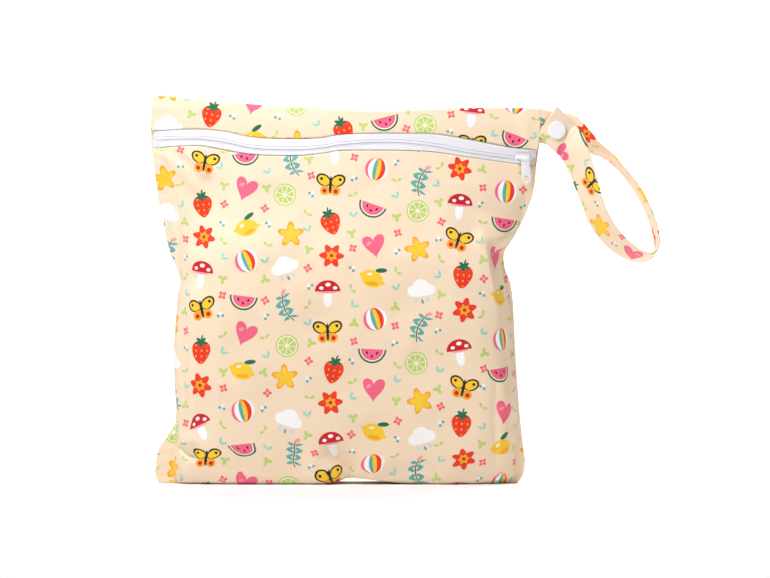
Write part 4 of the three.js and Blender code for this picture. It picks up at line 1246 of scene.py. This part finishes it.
# snap: two caps with a shallow dish, and the joined socket and stud between them
snap = {
    "radius": 6.4, "height": 1.5, "steps": 64, "flat": 0.5, "lip": 0.1, "rimShare": 0.42, "dish": 0.16,
    "dishRadius": 2.2, "coreRadius": 5.0, "waist": 3.9,
}


def turned(name, profile, node):
    # a profile of (radius, depth) carried round the snap's axis, along Y
    low, high = nodeBox(node)
    centre = (low + high) / 2
    angle = circle(snap["steps"])
    radius, depth = np.array(profile).T[..., None]
    rings = stack(centre[0] + radius * np.cos(angle), depth, centre[2] + radius * np.sin(angle))
    settle(joinMesh(name, [rings]), bag["body"], "snap", node)


def capProfile(face, facing):
    # flat underside, rounded rim, shallow dish in the top: height * (1 - share^2 / 20) - dish * exp(-(r / 2.2)^4)
    radius, height = snap["radius"], snap["height"]
    rim = height * snap["rimShare"]
    profile = [(0.0, face), (radius - snap["flat"], face), (radius - 0.12, face + facing * snap["lip"])]
    profile += [(radius - rim * (1 - math.cos(a)), face + facing * (height - rim + rim * math.sin(a) * 0.9))
                for a in np.linspace(0, 1.45, 10)]
    for share in np.linspace(0.86, 0, 14):
        dish = snap["dish"] * math.exp(-((radius * share / snap["dishRadius"]) ** 4))
        profile.append((radius * share, face + facing * (height * (1 - 0.05 * share ** 2) - dish)))
    return profile


def coreProfile(low, high):
    # two discs on a narrower waist: radii with their depths from the back end, then from the front end
    wide, waist = snap["coreRadius"], snap["waist"]
    back = [(0, 0), (wide - 0.4, 0), (wide, 0.4), (wide, 1.4), (waist, 1.6)]
    front = [(waist, 1.4), (wide, 1.2), (wide, 0.4), (wide - 0.4, 0), (0, 0)]
    return [(radius, high - depth) for radius, depth in back] + [(radius, low + depth) for radius, depth in front]


turned("snapCapFront", capProfile(nodeBox("snap_cap")[0][1] + snap["height"], -1), "snap_cap")
turned("snapCapBack", capProfile(nodeBox("snap_back_cap")[1][1] - snap["height"], 1), "snap_back_cap")
turned("snapCore", coreProfile(*(corner[1] for corner in nodeBox("snap_core"))), "snap_core")
print("snap made")


# studio: a pale floor that sweeps up far behind, and soft lights
studio = {"front": -6.0, "bend": 3.9, "sweep": 0.5, "wall": 1.4, "half": 6.0}


def makeStudio():
    # floor profile: flat, then a quarter circle, then upright
    turn = np.linspace(0, math.pi / 2, 16)[1:]
    profile = [(studio["front"], 0.0), (studio["bend"], 0.0)]
    profile += [(studio["bend"] + studio["sweep"] * math.sin(a), studio["sweep"] * (1 - math.cos(a))) for a in turn]
    profile += [(studio["bend"] + studio["sweep"], studio["wall"])]
    profile = np.array(profile) / millimetre
    across = np.array([-studio["half"], studio["half"]]) / millimetre
    points = np.array([[(x, y, z - 0.02) for x in across] for y, z in profile])
    rows, columns = points.shape[:2]
    floor = makeMesh("studioFloor", points.reshape(-1, 3), gridFaces(rows, columns))
    made, start, shader = newMaterial("paleFloor")
    dress(shader, {"Base Color": linear(0.985, 0.985, 0.985), "Roughness": 0.7})
    floor.data.materials.append(made)


def areaLight(name, place, aim, size, power, colour=(1, 1, 1)):
    # a square light that looks from place to aim: tilt = atan2(level distance, drop), heading = atan2(-x, y)
    data = bpy.data.lights.new(name, "AREA")
    data.shape, data.size, data.energy, data.color = "SQUARE", size, power, colour
    light = inScene(name, data)
    light.location = place
    direction = [a - p for a, p in zip(aim, place)]
    away = math.hypot(direction[0], direction[1])
    light.rotation_euler = (math.atan2(away, -direction[2]), 0, math.atan2(-direction[0], direction[1]))


makeStudio()
areaLight("key", (-0.3, -0.36, 0.84), (0.0, 0.0, 0.16), 0.4, 7.2, (0.985, 0.99, 1.07))
areaLight("fill", (0.2, -1.3, 0.76), (0.02, 0.0, 0.1), 0.5, 1.9, (1.0, 0.94, 0.84))
areaLight("top", (0.45, 0.75, 0.95), (0.36, 0.2, 0.0), 0.7, 10.5)
areaLight("backdrop", (0.1, 3.2, 2.4), (0.1, 3.6, 0.0), 2.0, 120.0)
world = bpy.data.worlds.new("studioAir")
world.use_nodes = True
world.node_tree.nodes["Background"].inputs["Color"].default_value = (1.0, 0.9, 0.78, 1.0)
world.node_tree.nodes["Background"].inputs["Strength"].default_value = 0.15
bpy.context.scene.world = world
bpy.context.scene.view_settings.view_transform = "Standard"
print("studio made")
